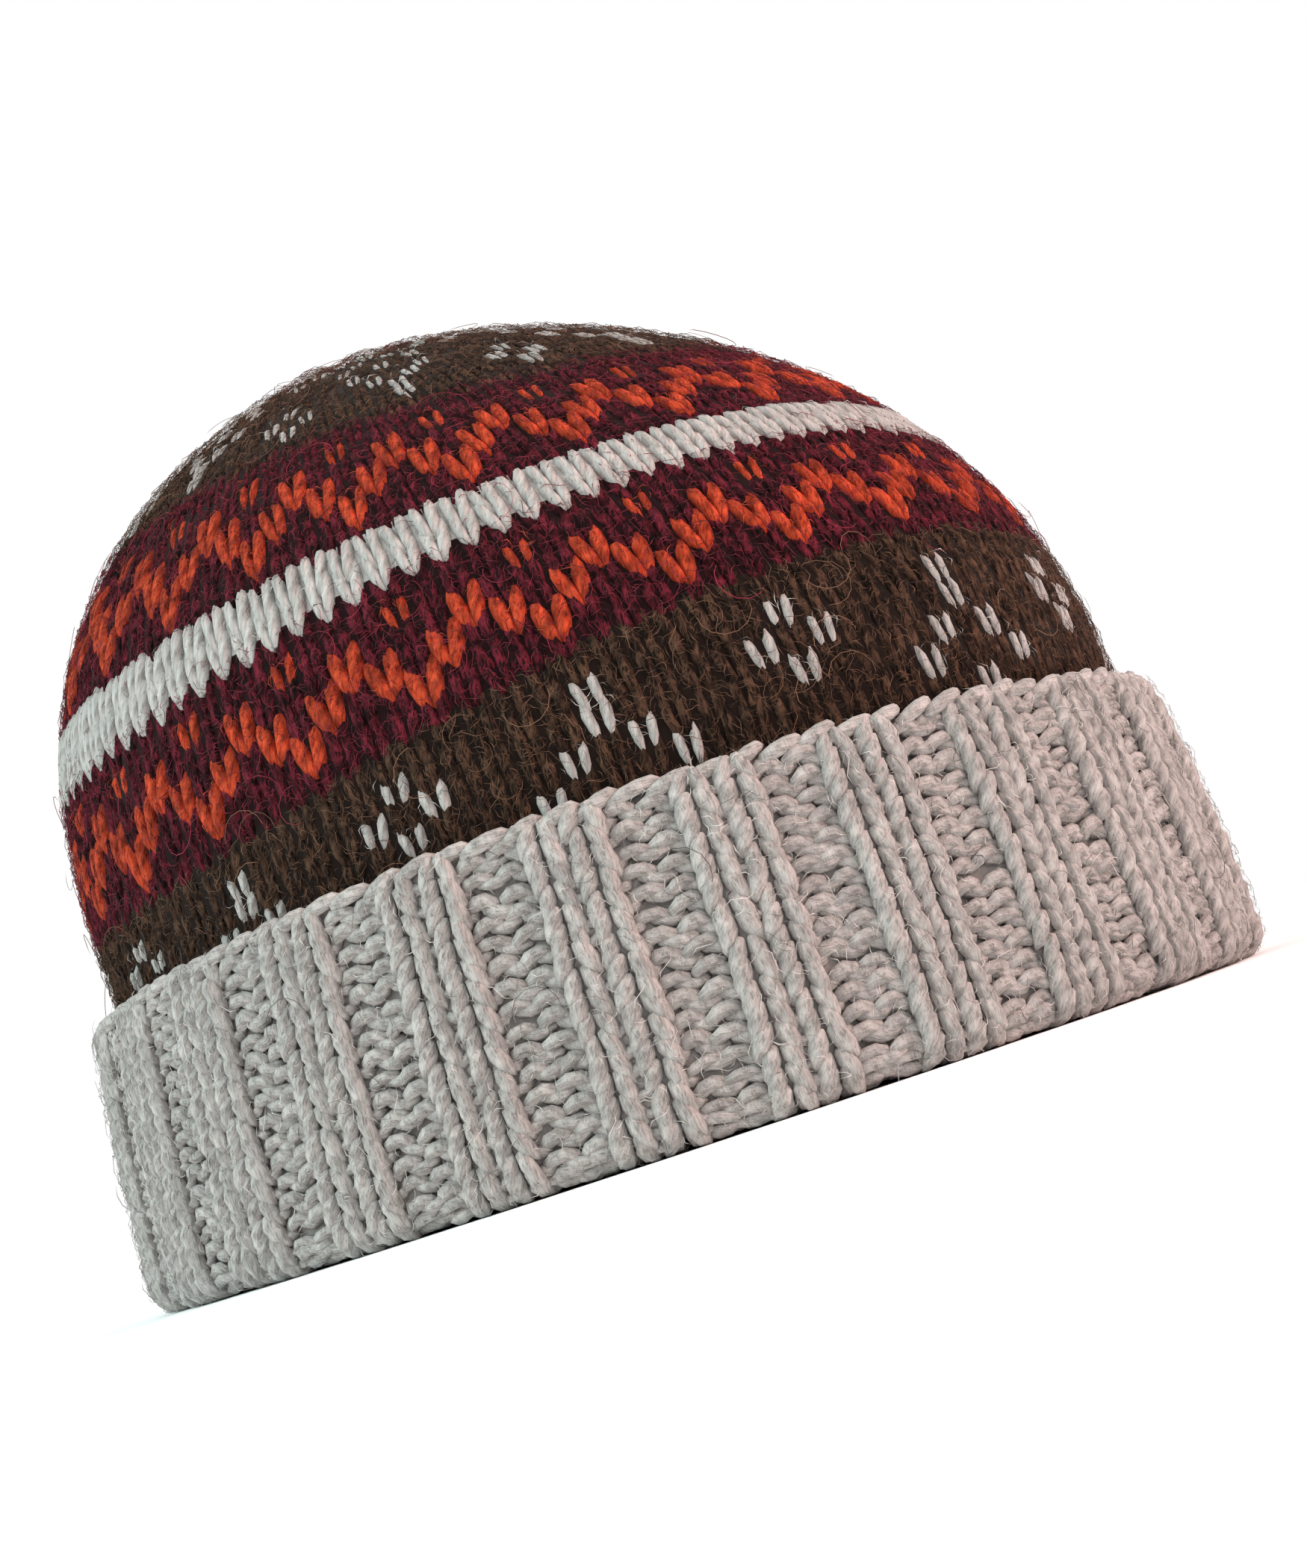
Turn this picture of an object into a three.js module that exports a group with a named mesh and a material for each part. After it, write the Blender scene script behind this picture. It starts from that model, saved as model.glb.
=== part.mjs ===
// A knitted wool hat: a hollow domed crown in patterned knitting, and a deep ribbed cuff
// that is folded up around its lower edge. Millimetres, +Z up, the forehead at -Y.
// The origin is under the middle of the hat, on the surface that the rim rests on.

import * as THREE from 'three';

// Whole hat
const HAT_HEIGHT = 162;         // to the top of the dome before its centre is drawn in
const RIM_RADIUS = 93.5;        // outside of the crown above the rim, mean of width and length
const HEAD_OVAL = 0.065;        // the head is this share narrower in X and longer in Y
const WALL = 3.8;               // thickness of the patterned knitting, with its strands inside
const GAP = 0.3;                // clearance between the crown and the cuff

// Crown
const SHOULDER_HEIGHT = 58;     // the side stands straight up to here and domes above
const SHOULDER_ROUNDNESS = 2.37;
const TOP_ROUNDNESS = 1.69;
const CROWN_LEAN = 22;          // the top lies this far towards the back of the head
const LEAN_POWER = 1.6;
const CROWN_SEGMENTS = 72;
const DOME_STEPS = 13;
const CLOSURE_DIP = 2.2;        // the drawn-in centre of the top
const CLOSURE_RADIUS = 11;
const GATHERS = 18;             // small puckers where the last rounds are pulled together
const GATHER_DEPTH = 0.9;
const GATHER_RADIUS = 17;

// Cuff
const CUFF_HEIGHT = 50.6;
const CUFF_RIBS = 27;           // one rib is two knit and two purl stitches
const SEGMENTS_PER_RIB = 6;
const RIB_RELIEF = 1.1;         // half the height of the knit columns over the purl ones
const RIB_SQUARENESS = 1.8;
const CUFF_THICKNESS = 5.4;     // to the middle of the relief, halfway up; more at the fold, less at the edge
const FOLD_HEIGHT = 4.6;        // the fold that runs under the crown's lower edge
const EDGE_FLARE = 1.1;         // the top of the cuff stands this far off the crown
const TURN_UP = 3.6;            // the cuff is turned up this much higher on one side
const TURN_UP_ANGLE = THREE.MathUtils.degToRad(200);

// The pattern is centred here, 60 degrees round from the forehead towards the wearer's right
const PATTERN_ANGLE = THREE.MathUtils.degToRad(210);

// Slow unevenness of hand knitting, the same on both pieces, the same on opposite sides
const SWAY_TABLE = [
  { turns: 2, share: 0.005, phase: 0.6 },
  { turns: 4, share: 0.003, phase: 2.1 },
  { turns: 6, share: 0.0018, phase: 4.0 },
];

const COLOURS = {
  crownWool: '#44161f',
  cuffWool: '#b4aea8',
};

// Bend both pieces alike: a round section becomes the head's oval, and the top leans back.
function fitToHead(x, y, z) {
  const angle = Math.atan2(y, x);
  const sway = SWAY_TABLE.reduce((sum, w) => sum + w.share * Math.cos(w.turns * angle + w.phase), 1);
  const rise = Math.max(0, (z - CUFF_HEIGHT) / (HAT_HEIGHT - CUFF_HEIGHT));
  return new THREE.Vector3(
    x * sway * (1 - HEAD_OVAL),
    y * sway * (1 + HEAD_OVAL) + CROWN_LEAN * rise ** LEAN_POWER,
    z,
  );
}

// Turn a closed profile of radius and height about +Z, with its first seam at a given angle.
function turnedSolid(profile, segments, startAngle) {
  const geometry = new THREE.LatheGeometry(profile, segments, startAngle + Math.PI / 2);
  geometry.rotateX(Math.PI / 2);
  return geometry;
}

// Move every corner of a geometry by a function of its place.
function reshape(geometry, place) {
  const corners = geometry.getAttribute('position');
  for (let i = 0; i < corners.count; i++) {
    const moved = place(corners.getX(i), corners.getY(i), corners.getZ(i));
    corners.setXYZ(i, moved.x, moved.y, moved.z);
  }
  geometry.computeVertexNormals();
  return geometry;
}

// One side of the dome, from the top centre down to its shoulder.
function domeProfile(radius, height, steps) {
  const points = [];
  for (let i = 0; i < steps; i++) {
    const turn = (Math.PI / 2) * (1 - i / steps);
    const rise = Math.sin(turn) ** (2 / SHOULDER_ROUNDNESS);
    points.push(new THREE.Vector2(
      i === 0 ? 0 : radius * Math.cos(turn) ** (2 / TOP_ROUNDNESS),
      SHOULDER_HEIGHT + (height - SHOULDER_HEIGHT) * rise,
    ));
  }
  return points;
}

// The gathered top: a dip at the centre with small puckers around it.
function gatherTop(x, y, z) {
  const radius = Math.hypot(x, y);
  if (z < SHOULDER_HEIGHT) return new THREE.Vector3(x, y, z);
  const dip = CLOSURE_DIP * Math.exp(-((radius / CLOSURE_RADIUS) ** 2));
  const reach = (radius / GATHER_RADIUS) * Math.exp(1 - radius / GATHER_RADIUS);
  const pucker = GATHER_DEPTH * reach ** 3 * Math.cos(GATHERS * (Math.atan2(y, x) - PATTERN_ANGLE));
  return new THREE.Vector3(x, y, z - dip + pucker);
}

function knittedCrown() {
  const foot = FOLD_HEIGHT + GAP;
  const inside = RIM_RADIUS - WALL;
  const bevel = 1;
  const profile = [
    ...domeProfile(RIM_RADIUS, HAT_HEIGHT, DOME_STEPS),
    new THREE.Vector2(RIM_RADIUS, SHOULDER_HEIGHT),
    new THREE.Vector2(RIM_RADIUS, SHOULDER_HEIGHT / 2),
    new THREE.Vector2(RIM_RADIUS, foot + bevel),
    new THREE.Vector2(RIM_RADIUS - bevel, foot),
    new THREE.Vector2(inside + bevel, foot),
    new THREE.Vector2(inside, foot + bevel),
    new THREE.Vector2(inside, SHOULDER_HEIGHT / 2),
    new THREE.Vector2(inside, SHOULDER_HEIGHT),
    ...domeProfile(inside, HAT_HEIGHT - WALL, DOME_STEPS - 2).reverse(),
  ];
  const solid = turnedSolid(profile.reverse(), CROWN_SEGMENTS, PATTERN_ANGLE);
  reshape(solid, gatherTop);
  return reshape(solid, fitToHead);
}

// The cuff's section, seen from the side, as a closed loop. relief is how much of the rib
// shows at each point: all on the outside, none on the inside and on the flat it rests on.
function cuffSection() {
  const seat = RIM_RADIUS + GAP;
  const outside = seat + CUFF_THICKNESS;
  const under = RIM_RADIUS - WALL;
  return [
    { name: 'inner lip of the fold', radius: under + 0.2, height: 2.6, relief: 0 },
    { name: 'start of the flat', radius: under + 2.0, height: 0, relief: 0 },
    { name: 'end of the flat', radius: outside - 1.6, height: 0, relief: 0.2 },
    { name: 'fold, outside', radius: outside + 0.6, height: 1.7, relief: 0.7 },
    { name: 'fold, top', radius: outside + 1.5, height: 5.8, relief: 1 },
    { name: 'belly', radius: outside + 0.8, height: 24, relief: 1 },
    { name: 'upper side', radius: outside - 0.7, height: 43, relief: 1 },
    { name: 'under the edge', radius: outside - 1.1, height: 47, relief: 0.7 },
    { name: 'edge, outside', radius: outside - 1.5, height: CUFF_HEIGHT - 1.2, relief: 0.3 },
    { name: 'edge, top', radius: outside - 2.8, height: CUFF_HEIGHT, relief: 0 },
    { name: 'edge, inside', radius: seat + EDGE_FLARE + 0.6, height: CUFF_HEIGHT - 1.2, relief: 0 },
    { name: 'flare', radius: seat + EDGE_FLARE, height: CUFF_HEIGHT - 4, relief: 0 },
    { name: 'seat side', radius: seat, height: 26, relief: 0 },
    { name: 'seat corner', radius: seat, height: FOLD_HEIGHT + 0.6, relief: 0 },
    { name: 'seat', radius: RIM_RADIUS - 0.6, height: FOLD_HEIGHT, relief: 0 },
    { name: 'seat, inner end', radius: under + 1.2, height: FOLD_HEIGHT, relief: 0 },
  ];
}

// Height of the ribs over their mean at an angle: flat-topped waves, purl at the pattern's centre.
function ribWave(angle) {
  const wave = -Math.cos(CUFF_RIBS * (angle - PATTERN_ANGLE));
  return Math.tanh(RIB_SQUARENESS * wave) / Math.tanh(RIB_SQUARENESS);
}

// How much higher than CUFF_HEIGHT the cuff is turned up at an angle, growing from the fold.
function turnUp(angle, z) {
  const share = (0.5 + 0.5 * Math.cos(angle - TURN_UP_ANGLE)) ** 2;
  return TURN_UP * share * Math.max(0, (z - FOLD_HEIGHT) / (CUFF_HEIGHT - FOLD_HEIGHT));
}

function ribbedCuff() {
  const section = cuffSection();
  const loop = [...section, section[0]];
  const profile = loop.map((point) => new THREE.Vector2(point.radius, point.height));
  const segments = CUFF_RIBS * SEGMENTS_PER_RIB;
  const solid = turnedSolid(profile, segments, PATTERN_ANGLE);
  const corners = solid.getAttribute('position');
  for (let i = 0; i < corners.count; i++) {
    const x = corners.getX(i);
    const y = corners.getY(i);
    const z = corners.getZ(i);
    const angle = Math.atan2(y, x);
    const relief = loop[i % loop.length].relief * RIB_RELIEF * ribWave(angle);
    const grown = 1 + relief / Math.hypot(x, y);
    corners.setXYZ(i, x * grown, y * grown, z + turnUp(angle, z));
  }
  return reshape(solid, fitToHead);
}

function wool(colour) {
  return new THREE.MeshStandardMaterial({ color: colour, roughness: 0.95, metalness: 0 });
}

function addPiece(group, name, geometry, colour) {
  const piece = new THREE.Mesh(geometry, wool(colour));
  piece.name = name;
  group.add(piece);
}

const hat = new THREE.Group();
addPiece(hat, 'knitted_crown', knittedCrown(), COLOURS.crownWool);
addPiece(hat, 'ribbed_cuff', ribbedCuff(), COLOURS.cuffWool);

export default hat;
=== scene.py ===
"""A knitted alpaca hat: a patterned dome and a deep ribbed cuff, stitch by stitch in real yarn.

Sizes are in millimetres until a mesh is written, and angles in radians. +Z is up, the forehead
is at -Y, and depth is measured outwards from the surface of the solids.
"""

import logging
import math
from dataclasses import dataclass, field
from enum import Enum
from typing import Callable, Iterable, Sequence

import bpy
import numpy as np
from mathutils import Matrix, Vector


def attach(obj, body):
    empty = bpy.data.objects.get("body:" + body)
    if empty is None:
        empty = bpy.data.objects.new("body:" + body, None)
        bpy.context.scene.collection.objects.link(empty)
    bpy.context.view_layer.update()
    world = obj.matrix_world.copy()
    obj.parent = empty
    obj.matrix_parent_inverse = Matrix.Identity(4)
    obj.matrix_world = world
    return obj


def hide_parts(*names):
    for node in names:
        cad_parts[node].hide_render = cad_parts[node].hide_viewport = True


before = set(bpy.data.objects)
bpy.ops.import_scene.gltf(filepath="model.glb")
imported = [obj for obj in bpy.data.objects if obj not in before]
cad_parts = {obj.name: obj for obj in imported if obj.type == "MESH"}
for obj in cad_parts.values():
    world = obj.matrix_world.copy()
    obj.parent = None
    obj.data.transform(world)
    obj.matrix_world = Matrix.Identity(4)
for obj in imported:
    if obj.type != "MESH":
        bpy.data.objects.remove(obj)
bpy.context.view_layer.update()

logging.basicConfig(level=logging.INFO, format="%(message)s")
LOG = logging.getLogger("hat")

MM = 0.001
PRESSED = 0.3 * MM          # yarn this close to the floor lies pressed on it
Array = np.ndarray
Socket = bpy.types.NodeSocket
Line = Sequence[tuple[float, float, float, float]]
Range = tuple[float, float]


class Wool(Enum):
    """The yarns of the hat."""

    BURGUNDY = "burgundy"
    BROWN = "brown"
    ORANGE = "orange"
    PALE = "pale"
    CUFF = "cuff"


def linear(hex_colour: str) -> tuple[float, float, float, float]:
    """Turn a screen colour such as #b4aea8 into the linear colour that shaders take.

    Args:
        hex_colour: Six hexadecimal digits after a hash.

    Returns:
        Red, green, blue and alpha, each from 0 to 1.
    """
    parts = [int(hex_colour[i:i + 2], 16) / 255 for i in (1, 3, 5)]
    low = [c / 12.92 if c <= 0.04045 else ((c + 0.055) / 1.055) ** 2.4 for c in parts]
    return (low[0], low[1], low[2], 1.0)


class NodeBoard:
    """A small helper that adds and links nodes of one tree."""

    def __init__(self, tree: bpy.types.NodeTree) -> None:
        """Keep the tree that nodes are added to.

        Args:
            tree: A shader or geometry node tree.
        """
        self.tree = tree

    def add(self, kind: str, inputs: dict | None = None, **settings: object) -> bpy.types.Node:
        """Add a node, set it up and feed its inputs.

        Args:
            kind: The node's type name.
            inputs: Input name or number to a value, or to an output socket to link from.
            settings: Properties of the node itself.

        Returns:
            The new node.
        """
        node = self.tree.nodes.new(kind)
        for name, value in settings.items():
            setattr(node, name, value)
        for key, value in (inputs or {}).items():
            socket = node.inputs[key]
            if isinstance(value, Socket):
                self.tree.links.new(value, socket)
            else:
                socket.default_value = value
        return node

    def math(self, operation: str, *values: object) -> Socket:
        """Add a Math node and return its result."""
        return self.add("ShaderNodeMath", dict(enumerate(values)), operation=operation).outputs[0]


def add_to_scene(name: str, data: bpy.types.ID) -> bpy.types.Object:
    """Make an object and put it in the scene.

    Args:
        name: The object's name.
        data: Its mesh, light or camera.

    Returns:
        The object.
    """
    made = bpy.data.objects.new(name, data)
    bpy.context.scene.collection.objects.link(made)
    return made


def store(mesh: bpy.types.Mesh, label: str, kind: str, domain: str, values: Array | Sequence[float]) -> None:
    """Write an attribute of a mesh.

    Args:
        mesh: The mesh.
        label: The attribute's name.
        kind: Its type.
        domain: What carries it.
        values: A row for each corner, point or face.
    """
    part = {"FLOAT_VECTOR": "vector", "FLOAT_COLOR": "color"}.get(kind, "value")
    made = mesh.attributes.new(label, kind, domain)
    made.data.foreach_set(part, np.asarray(values, np.float32).ravel())


@dataclass(frozen=True)
class YarnFinish:
    """The look of one yarn: heathered colour, plies, fibres and a soft matt sheen."""

    wool: Wool
    slot: str
    shade: str          # the yarn's main colour
    light: str          # its lightest fibres
    dark_and_groove_shade: str           # the heather's darkest fibres, and the painted shade in the grooves between the plies
    fibre: str          # the loose fibres that stand off it
    matting: float      # how much of the surface matted fibres cover, 0 to 1
    fluff: float        # how many loose fibres lie on it, 1 for the hairiest yarn
    sheen: float = 0.3
    patches: float = 0.1        # how far matted patches differ in lightness
    plies: int = 5
    twist_mm: float = 17.0
    relief_mm: float = 0.28

    PLY_RELIEF, STREAK_RELIEF = 0.62, 0.38      # their shares of the relief
    BUMP = 0.9
    ROUGHNESS = 0.9
    SPECULAR = 0.12
    SHEEN_ROUGHNESS = 0.45
    STREAKS_AROUND = 26.0       # streaks around a strand
    STREAKS_PER_MM = 0.55       # and along it
    # Turn and fineness of each layer of matted fibres
    LAYERS = ((0.0, 640.0), (1.1, 760.0), (2.2, 560.0), (0.6, 900.0))
    FIBRE_STRETCH = (1.0, 1.0, 0.22)
    FIBRE_THINNESS = 24.0
    SHADES_AT = (0.3, 0.5, 0.72)        # where the dark, main and light shades lie in the heather
    # How far the grooves between the plies are painted towards the dark colour: painted shade
    GROOVE_SHADE = 0.45
    PATCH_FINENESS = 380.0
    PATCH_RANGE = (0.36, 0.64)

    def material(self) -> bpy.types.Material:
        """Build the yarn's material, which follows the strand's own map.

        Returns:
            The finished material.
        """
        made = bpy.data.materials.new(f"{self.wool.value}_yarn")
        made.use_nodes = True
        made.diffuse_color = linear(self.shade)
        made.node_tree.nodes.clear()
        board = NodeBoard(made.node_tree)
        plies, streaks = self._strand_patterns(board)
        fibres = self._loose_fibres(board)
        colour = self._colour(board, plies, streaks, fibres)
        height = board.math("ADD", board.math("MULTIPLY", plies, self.PLY_RELIEF),
                            board.math("MULTIPLY", streaks, self.STREAK_RELIEF))
        bump = board.add("ShaderNodeBump", {
            "Strength": self.BUMP, "Distance": self.relief_mm * MM, "Height": height})
        surface = board.add("ShaderNodeBsdfPrincipled", {
            "Base Color": colour, "Roughness": self.ROUGHNESS, "Specular IOR Level": self.SPECULAR,
            "Sheen Weight": self.sheen, "Sheen Roughness": self.SHEEN_ROUGHNESS,
            "Sheen Tint": linear(self.light), "Normal": bump.outputs["Normal"]})
        board.add("ShaderNodeOutputMaterial", {"Surface": surface.outputs[0]})
        return made

    def _strand_patterns(self, board: NodeBoard) -> tuple[Socket, Socket]:
        """Draw the twisted plies and the fine streaks that run along them.

        Args:
            board: The material's nodes.

        Returns:
            Ply height and streak strength, each about 0 to 1.
        """
        strand = board.add("ShaderNodeUVMap", uv_map="strand")
        parts = board.add("ShaderNodeSeparateXYZ", {0: strand.outputs[0]})
        around, along = parts.outputs[0], parts.outputs[1]
        turned = board.math("ADD", around, board.math("DIVIDE", along, self.twist_mm))
        wave = board.math("SINE", board.math("MULTIPLY", turned, 2 * math.pi * self.plies))
        raised = board.math("ADD", board.math("MULTIPLY", wave, 0.5), 0.5)
        plies = board.math("SQRT", board.math("ABSOLUTE", raised))
        where = board.add("ShaderNodeCombineXYZ", {
            0: board.math("MULTIPLY", turned, self.STREAKS_AROUND),
            1: board.math("MULTIPLY", along, self.STREAKS_PER_MM)})
        noise = board.add("ShaderNodeTexNoise", {
            "Vector": where.outputs[0], "Scale": 1.0, "Detail": 3.0, "Roughness": 0.6})
        return plies, noise.outputs[0]

    def _loose_fibres(self, board: NodeBoard) -> Socket:
        """Draw thin curved fibres that lie matted over the yarn in every direction.

        Args:
            board: The material's nodes.

        Returns:
            The fibres' strength, 0 to 1.
        """
        place = board.add("ShaderNodeTexCoord").outputs["Object"]
        total: Socket | None = None
        for turn, fineness in self.LAYERS:
            mapped = board.add("ShaderNodeMapping", {
                "Vector": place, "Rotation": (turn, 0.6 * turn, 1.7 * turn), "Scale": self.FIBRE_STRETCH})
            noise = board.add("ShaderNodeTexNoise", {
                "Vector": mapped.outputs[0], "Scale": fineness, "Detail": 1.0, "Distortion": 0.8})
            ridge = board.math("ABSOLUTE", board.math("SUBTRACT", noise.outputs[0], 0.5))
            line = board.math("SUBTRACT", 1.0, board.math("MULTIPLY", ridge, self.FIBRE_THINNESS))
            line = board.add("ShaderNodeClamp", {0: line}).outputs[0]
            total = line if total is None else board.math("MAXIMUM", total, line)
        return total

    def _colour(self, board: NodeBoard, plies: Socket, streaks: Socket, fibres: Socket) -> Socket:
        """Blend the yarn's tones: painted shade in the grooves between the plies, heathered streaks and
        lighter loose fibres.

        Args:
            board: The material's nodes.
            plies: Ply height.
            streaks: Streaks along the plies.
            fibres: Loose fibres over the yarn.

        Returns:
            The colour to shade with.
        """
        heather = board.add("ShaderNodeValToRGB", {0: streaks})
        ends = heather.color_ramp.elements
        ends[0].position, middle_at, ends[1].position = self.SHADES_AT
        ends[0].color = linear(self.dark_and_groove_shade)
        ends[1].color = linear(self.light)
        ends.new(middle_at).color = linear(self.shade)
        # Painted shade: the grooves between the plies are mixed towards the dark colour
        painted_groove_shade = board.add("ShaderNodeMapRange", {0: plies, 1: 0.0, 2: 0.7, 3: self.GROOVE_SHADE, 4: 0.0})
        mixed = board.add("ShaderNodeMix", {
            0: painted_groove_shade.outputs[0], 6: heather.outputs[0], 7: linear(self.dark_and_groove_shade)}, data_type="RGBA")
        covered = board.math("MULTIPLY", fibres, self.matting)
        mixed = board.add("ShaderNodeMix", {
            0: covered, 6: mixed.outputs[2], 7: linear(self.fibre)}, data_type="RGBA")
        tone = board.add("ShaderNodeAttribute", attribute_name="tone")
        cloud = board.add("ShaderNodeTexNoise", {
            "Vector": board.add("ShaderNodeTexCoord").outputs["Object"],
            "Scale": self.PATCH_FINENESS, "Detail": 2.0})
        thin, thick = self.PATCH_RANGE
        patch = board.add("ShaderNodeMapRange", {
            0: cloud.outputs[0], 1: thin, 2: thick, 3: 1 - self.patches, 4: 1 + self.patches})
        value = board.math("MULTIPLY", tone.outputs["Fac"], patch.outputs[0])
        lit = board.add("ShaderNodeHueSaturation", {"Color": mixed.outputs[2], "Value": value})
        return lit.outputs[0]


FINISHES: dict[Wool, YarnFinish] = {finish.wool: finish for finish in (
    YarnFinish(
        Wool.BURGUNDY, "burgundy_wool", shade="#190609", light="#351018", dark_and_groove_shade="#060203", fibre="#782333",
        matting=0.5, fluff=1.0, sheen=0.02, relief_mm=0.45, patches=0.75),
    YarnFinish(
        Wool.BROWN, "brown_wool", shade="#180f0b", light="#33241d", dark_and_groove_shade="#060302", fibre="#6a4d3c",
        matting=0.45, fluff=1.0, sheen=0.02, relief_mm=0.45, patches=0.6),
    YarnFinish(
        Wool.ORANGE, "orange_wool", shade="#952a15", light="#bd4b2d", dark_and_groove_shade="#4a140b", fibre="#b04a30",
        matting=0.5, fluff=0.7, sheen=0.1, plies=4, twist_mm=16.0, relief_mm=0.35, patches=0.35),
    YarnFinish(
        Wool.PALE, "pale_wool", shade="#a5a19e", light="#b9b5b2", dark_and_groove_shade="#85817d", fibre="#b7b2ae",
        matting=0.3, fluff=0.4, plies=4, twist_mm=16.0, relief_mm=0.3, patches=0.1),
    YarnFinish(
        Wool.CUFF, "cuff_wool", shade="#9c9794", light="#b6b1ae", dark_and_groove_shade="#716c69", fibre="#c9c3bf",
        matting=0.35, fluff=0.5, plies=5, twist_mm=24.0, relief_mm=0.26, patches=0.14),
)}


@dataclass(frozen=True)
class HatForm:
    """The shape that both pieces are bent to, with the sizes that the solids have."""

    height: float = 162.0
    rim_radius: float = 93.5
    head_oval: float = 0.065
    wall: float = 3.8
    shoulder_height: float = 58.0
    shoulder_roundness: float = 2.37
    top_roundness: float = 1.69
    crown_lean: float = 22.0
    lean_power: float = 1.6
    closure_dip: float = 2.2
    closure_radius: float = 11.0
    gathers: int = 18
    gather_depth: float = 0.9
    gather_radius: float = 17.0
    gap: float = 0.3
    cuff_thickness: float = 5.4
    cuff_height: float = 50.6
    fold_height: float = 4.6
    turn_up: float = 3.6
    turn_up_angle: float = math.radians(200)
    slant_angle: float = math.radians(198)
    # Length from the fold, how far its round slants, and how far it is lifted
    slants: tuple[tuple[float, float, float], ...] = (
        (0, 0, 0), (45, 6, 0), (72, 14.5, -0.5), (98, 10, 0.3), (108, 5.5, 0.4), (132, -4, 4.6),
        (172, -1.5, 6), (213.3, 0, 0))
    cuff_ribs: int = 27
    pattern_angle: float = math.radians(210)
    sway: tuple[tuple[int, float, float], ...] = ((2, 0.005, 0.6), (4, 0.003, 2.1), (6, 0.0018, 4.0))

    def fit_to_head(self, points: Array) -> Array:
        """Bend a round shape to the head's oval and lean its top back.

        Args:
            points: Places in rows of x, y and z.

        Returns:
            The bent places.
        """
        angle = np.arctan2(points[:, 1], points[:, 0])
        sway = 1 + sum(share * np.cos(turns * angle + phase) for turns, share, phase in self.sway)
        rise = np.clip((points[:, 2] - self.cuff_height) / (self.height - self.cuff_height), 0, None)
        return np.stack([
            points[:, 0] * sway * (1 - self.head_oval),
            points[:, 1] * sway * (1 + self.head_oval) + self.crown_lean * rise ** self.lean_power,
            points[:, 2]], axis=1)

    def turned_side(self, angle: Array) -> Array:
        """Share of the extra turn-up at an angle, 1 where the cuff stands highest."""
        return (0.5 + 0.5 * np.cos(angle - self.turn_up_angle)) ** 2

    def turn_up_cuff(self, points: Array) -> Array:
        """Raise the cuff on the side where it is turned up higher, growing from the fold.

        Args:
            points: Places in rows of x, y and z.

        Returns:
            The raised places.
        """
        share = self.turned_side(np.arctan2(points[:, 1], points[:, 0]))
        grown = np.clip((points[:, 2] - self.fold_height) / (self.cuff_height - self.fold_height), 0, None)
        raised = points.copy()
        raised[:, 2] += self.turn_up * share * grown
        return raised

    def slant(self, up: Array, angle: Array) -> Array:
        """How far the crown's rounds have slid in the worn fabric, most near the pattern's centre.

        Args:
            up: Lengths from the fold.
            angle: Angles about the hat's middle.

        Returns:
            Lengths to add.
        """
        lengths, tilts, lifts = np.array(self.slants).T
        away = angle - self.slant_angle
        near = (0.5 + 0.5 * np.cos(away)) ** 1.5
        return np.interp(up, lengths, tilts) * near * np.sin(away) + np.interp(up, lengths, lifts)

    def gather_top(self, points: Array) -> Array:
        """Draw the centre of the top in, with small puckers round it.

        Args:
            points: Places in rows of x, y and z.

        Returns:
            The gathered places.
        """
        radius = np.hypot(points[:, 0], points[:, 1])
        angle = np.arctan2(points[:, 1], points[:, 0])
        dip = self.closure_dip * np.exp(-(radius / self.closure_radius) ** 2)
        reach = radius / self.gather_radius * np.exp(1 - radius / self.gather_radius)
        pucker = self.gather_depth * reach ** 3 * np.cos(self.gathers * (angle - self.pattern_angle))
        gathered = points.copy()
        gathered[:, 2] += np.where(points[:, 2] < self.shoulder_height, 0.0, pucker - dip)
        return gathered


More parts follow.
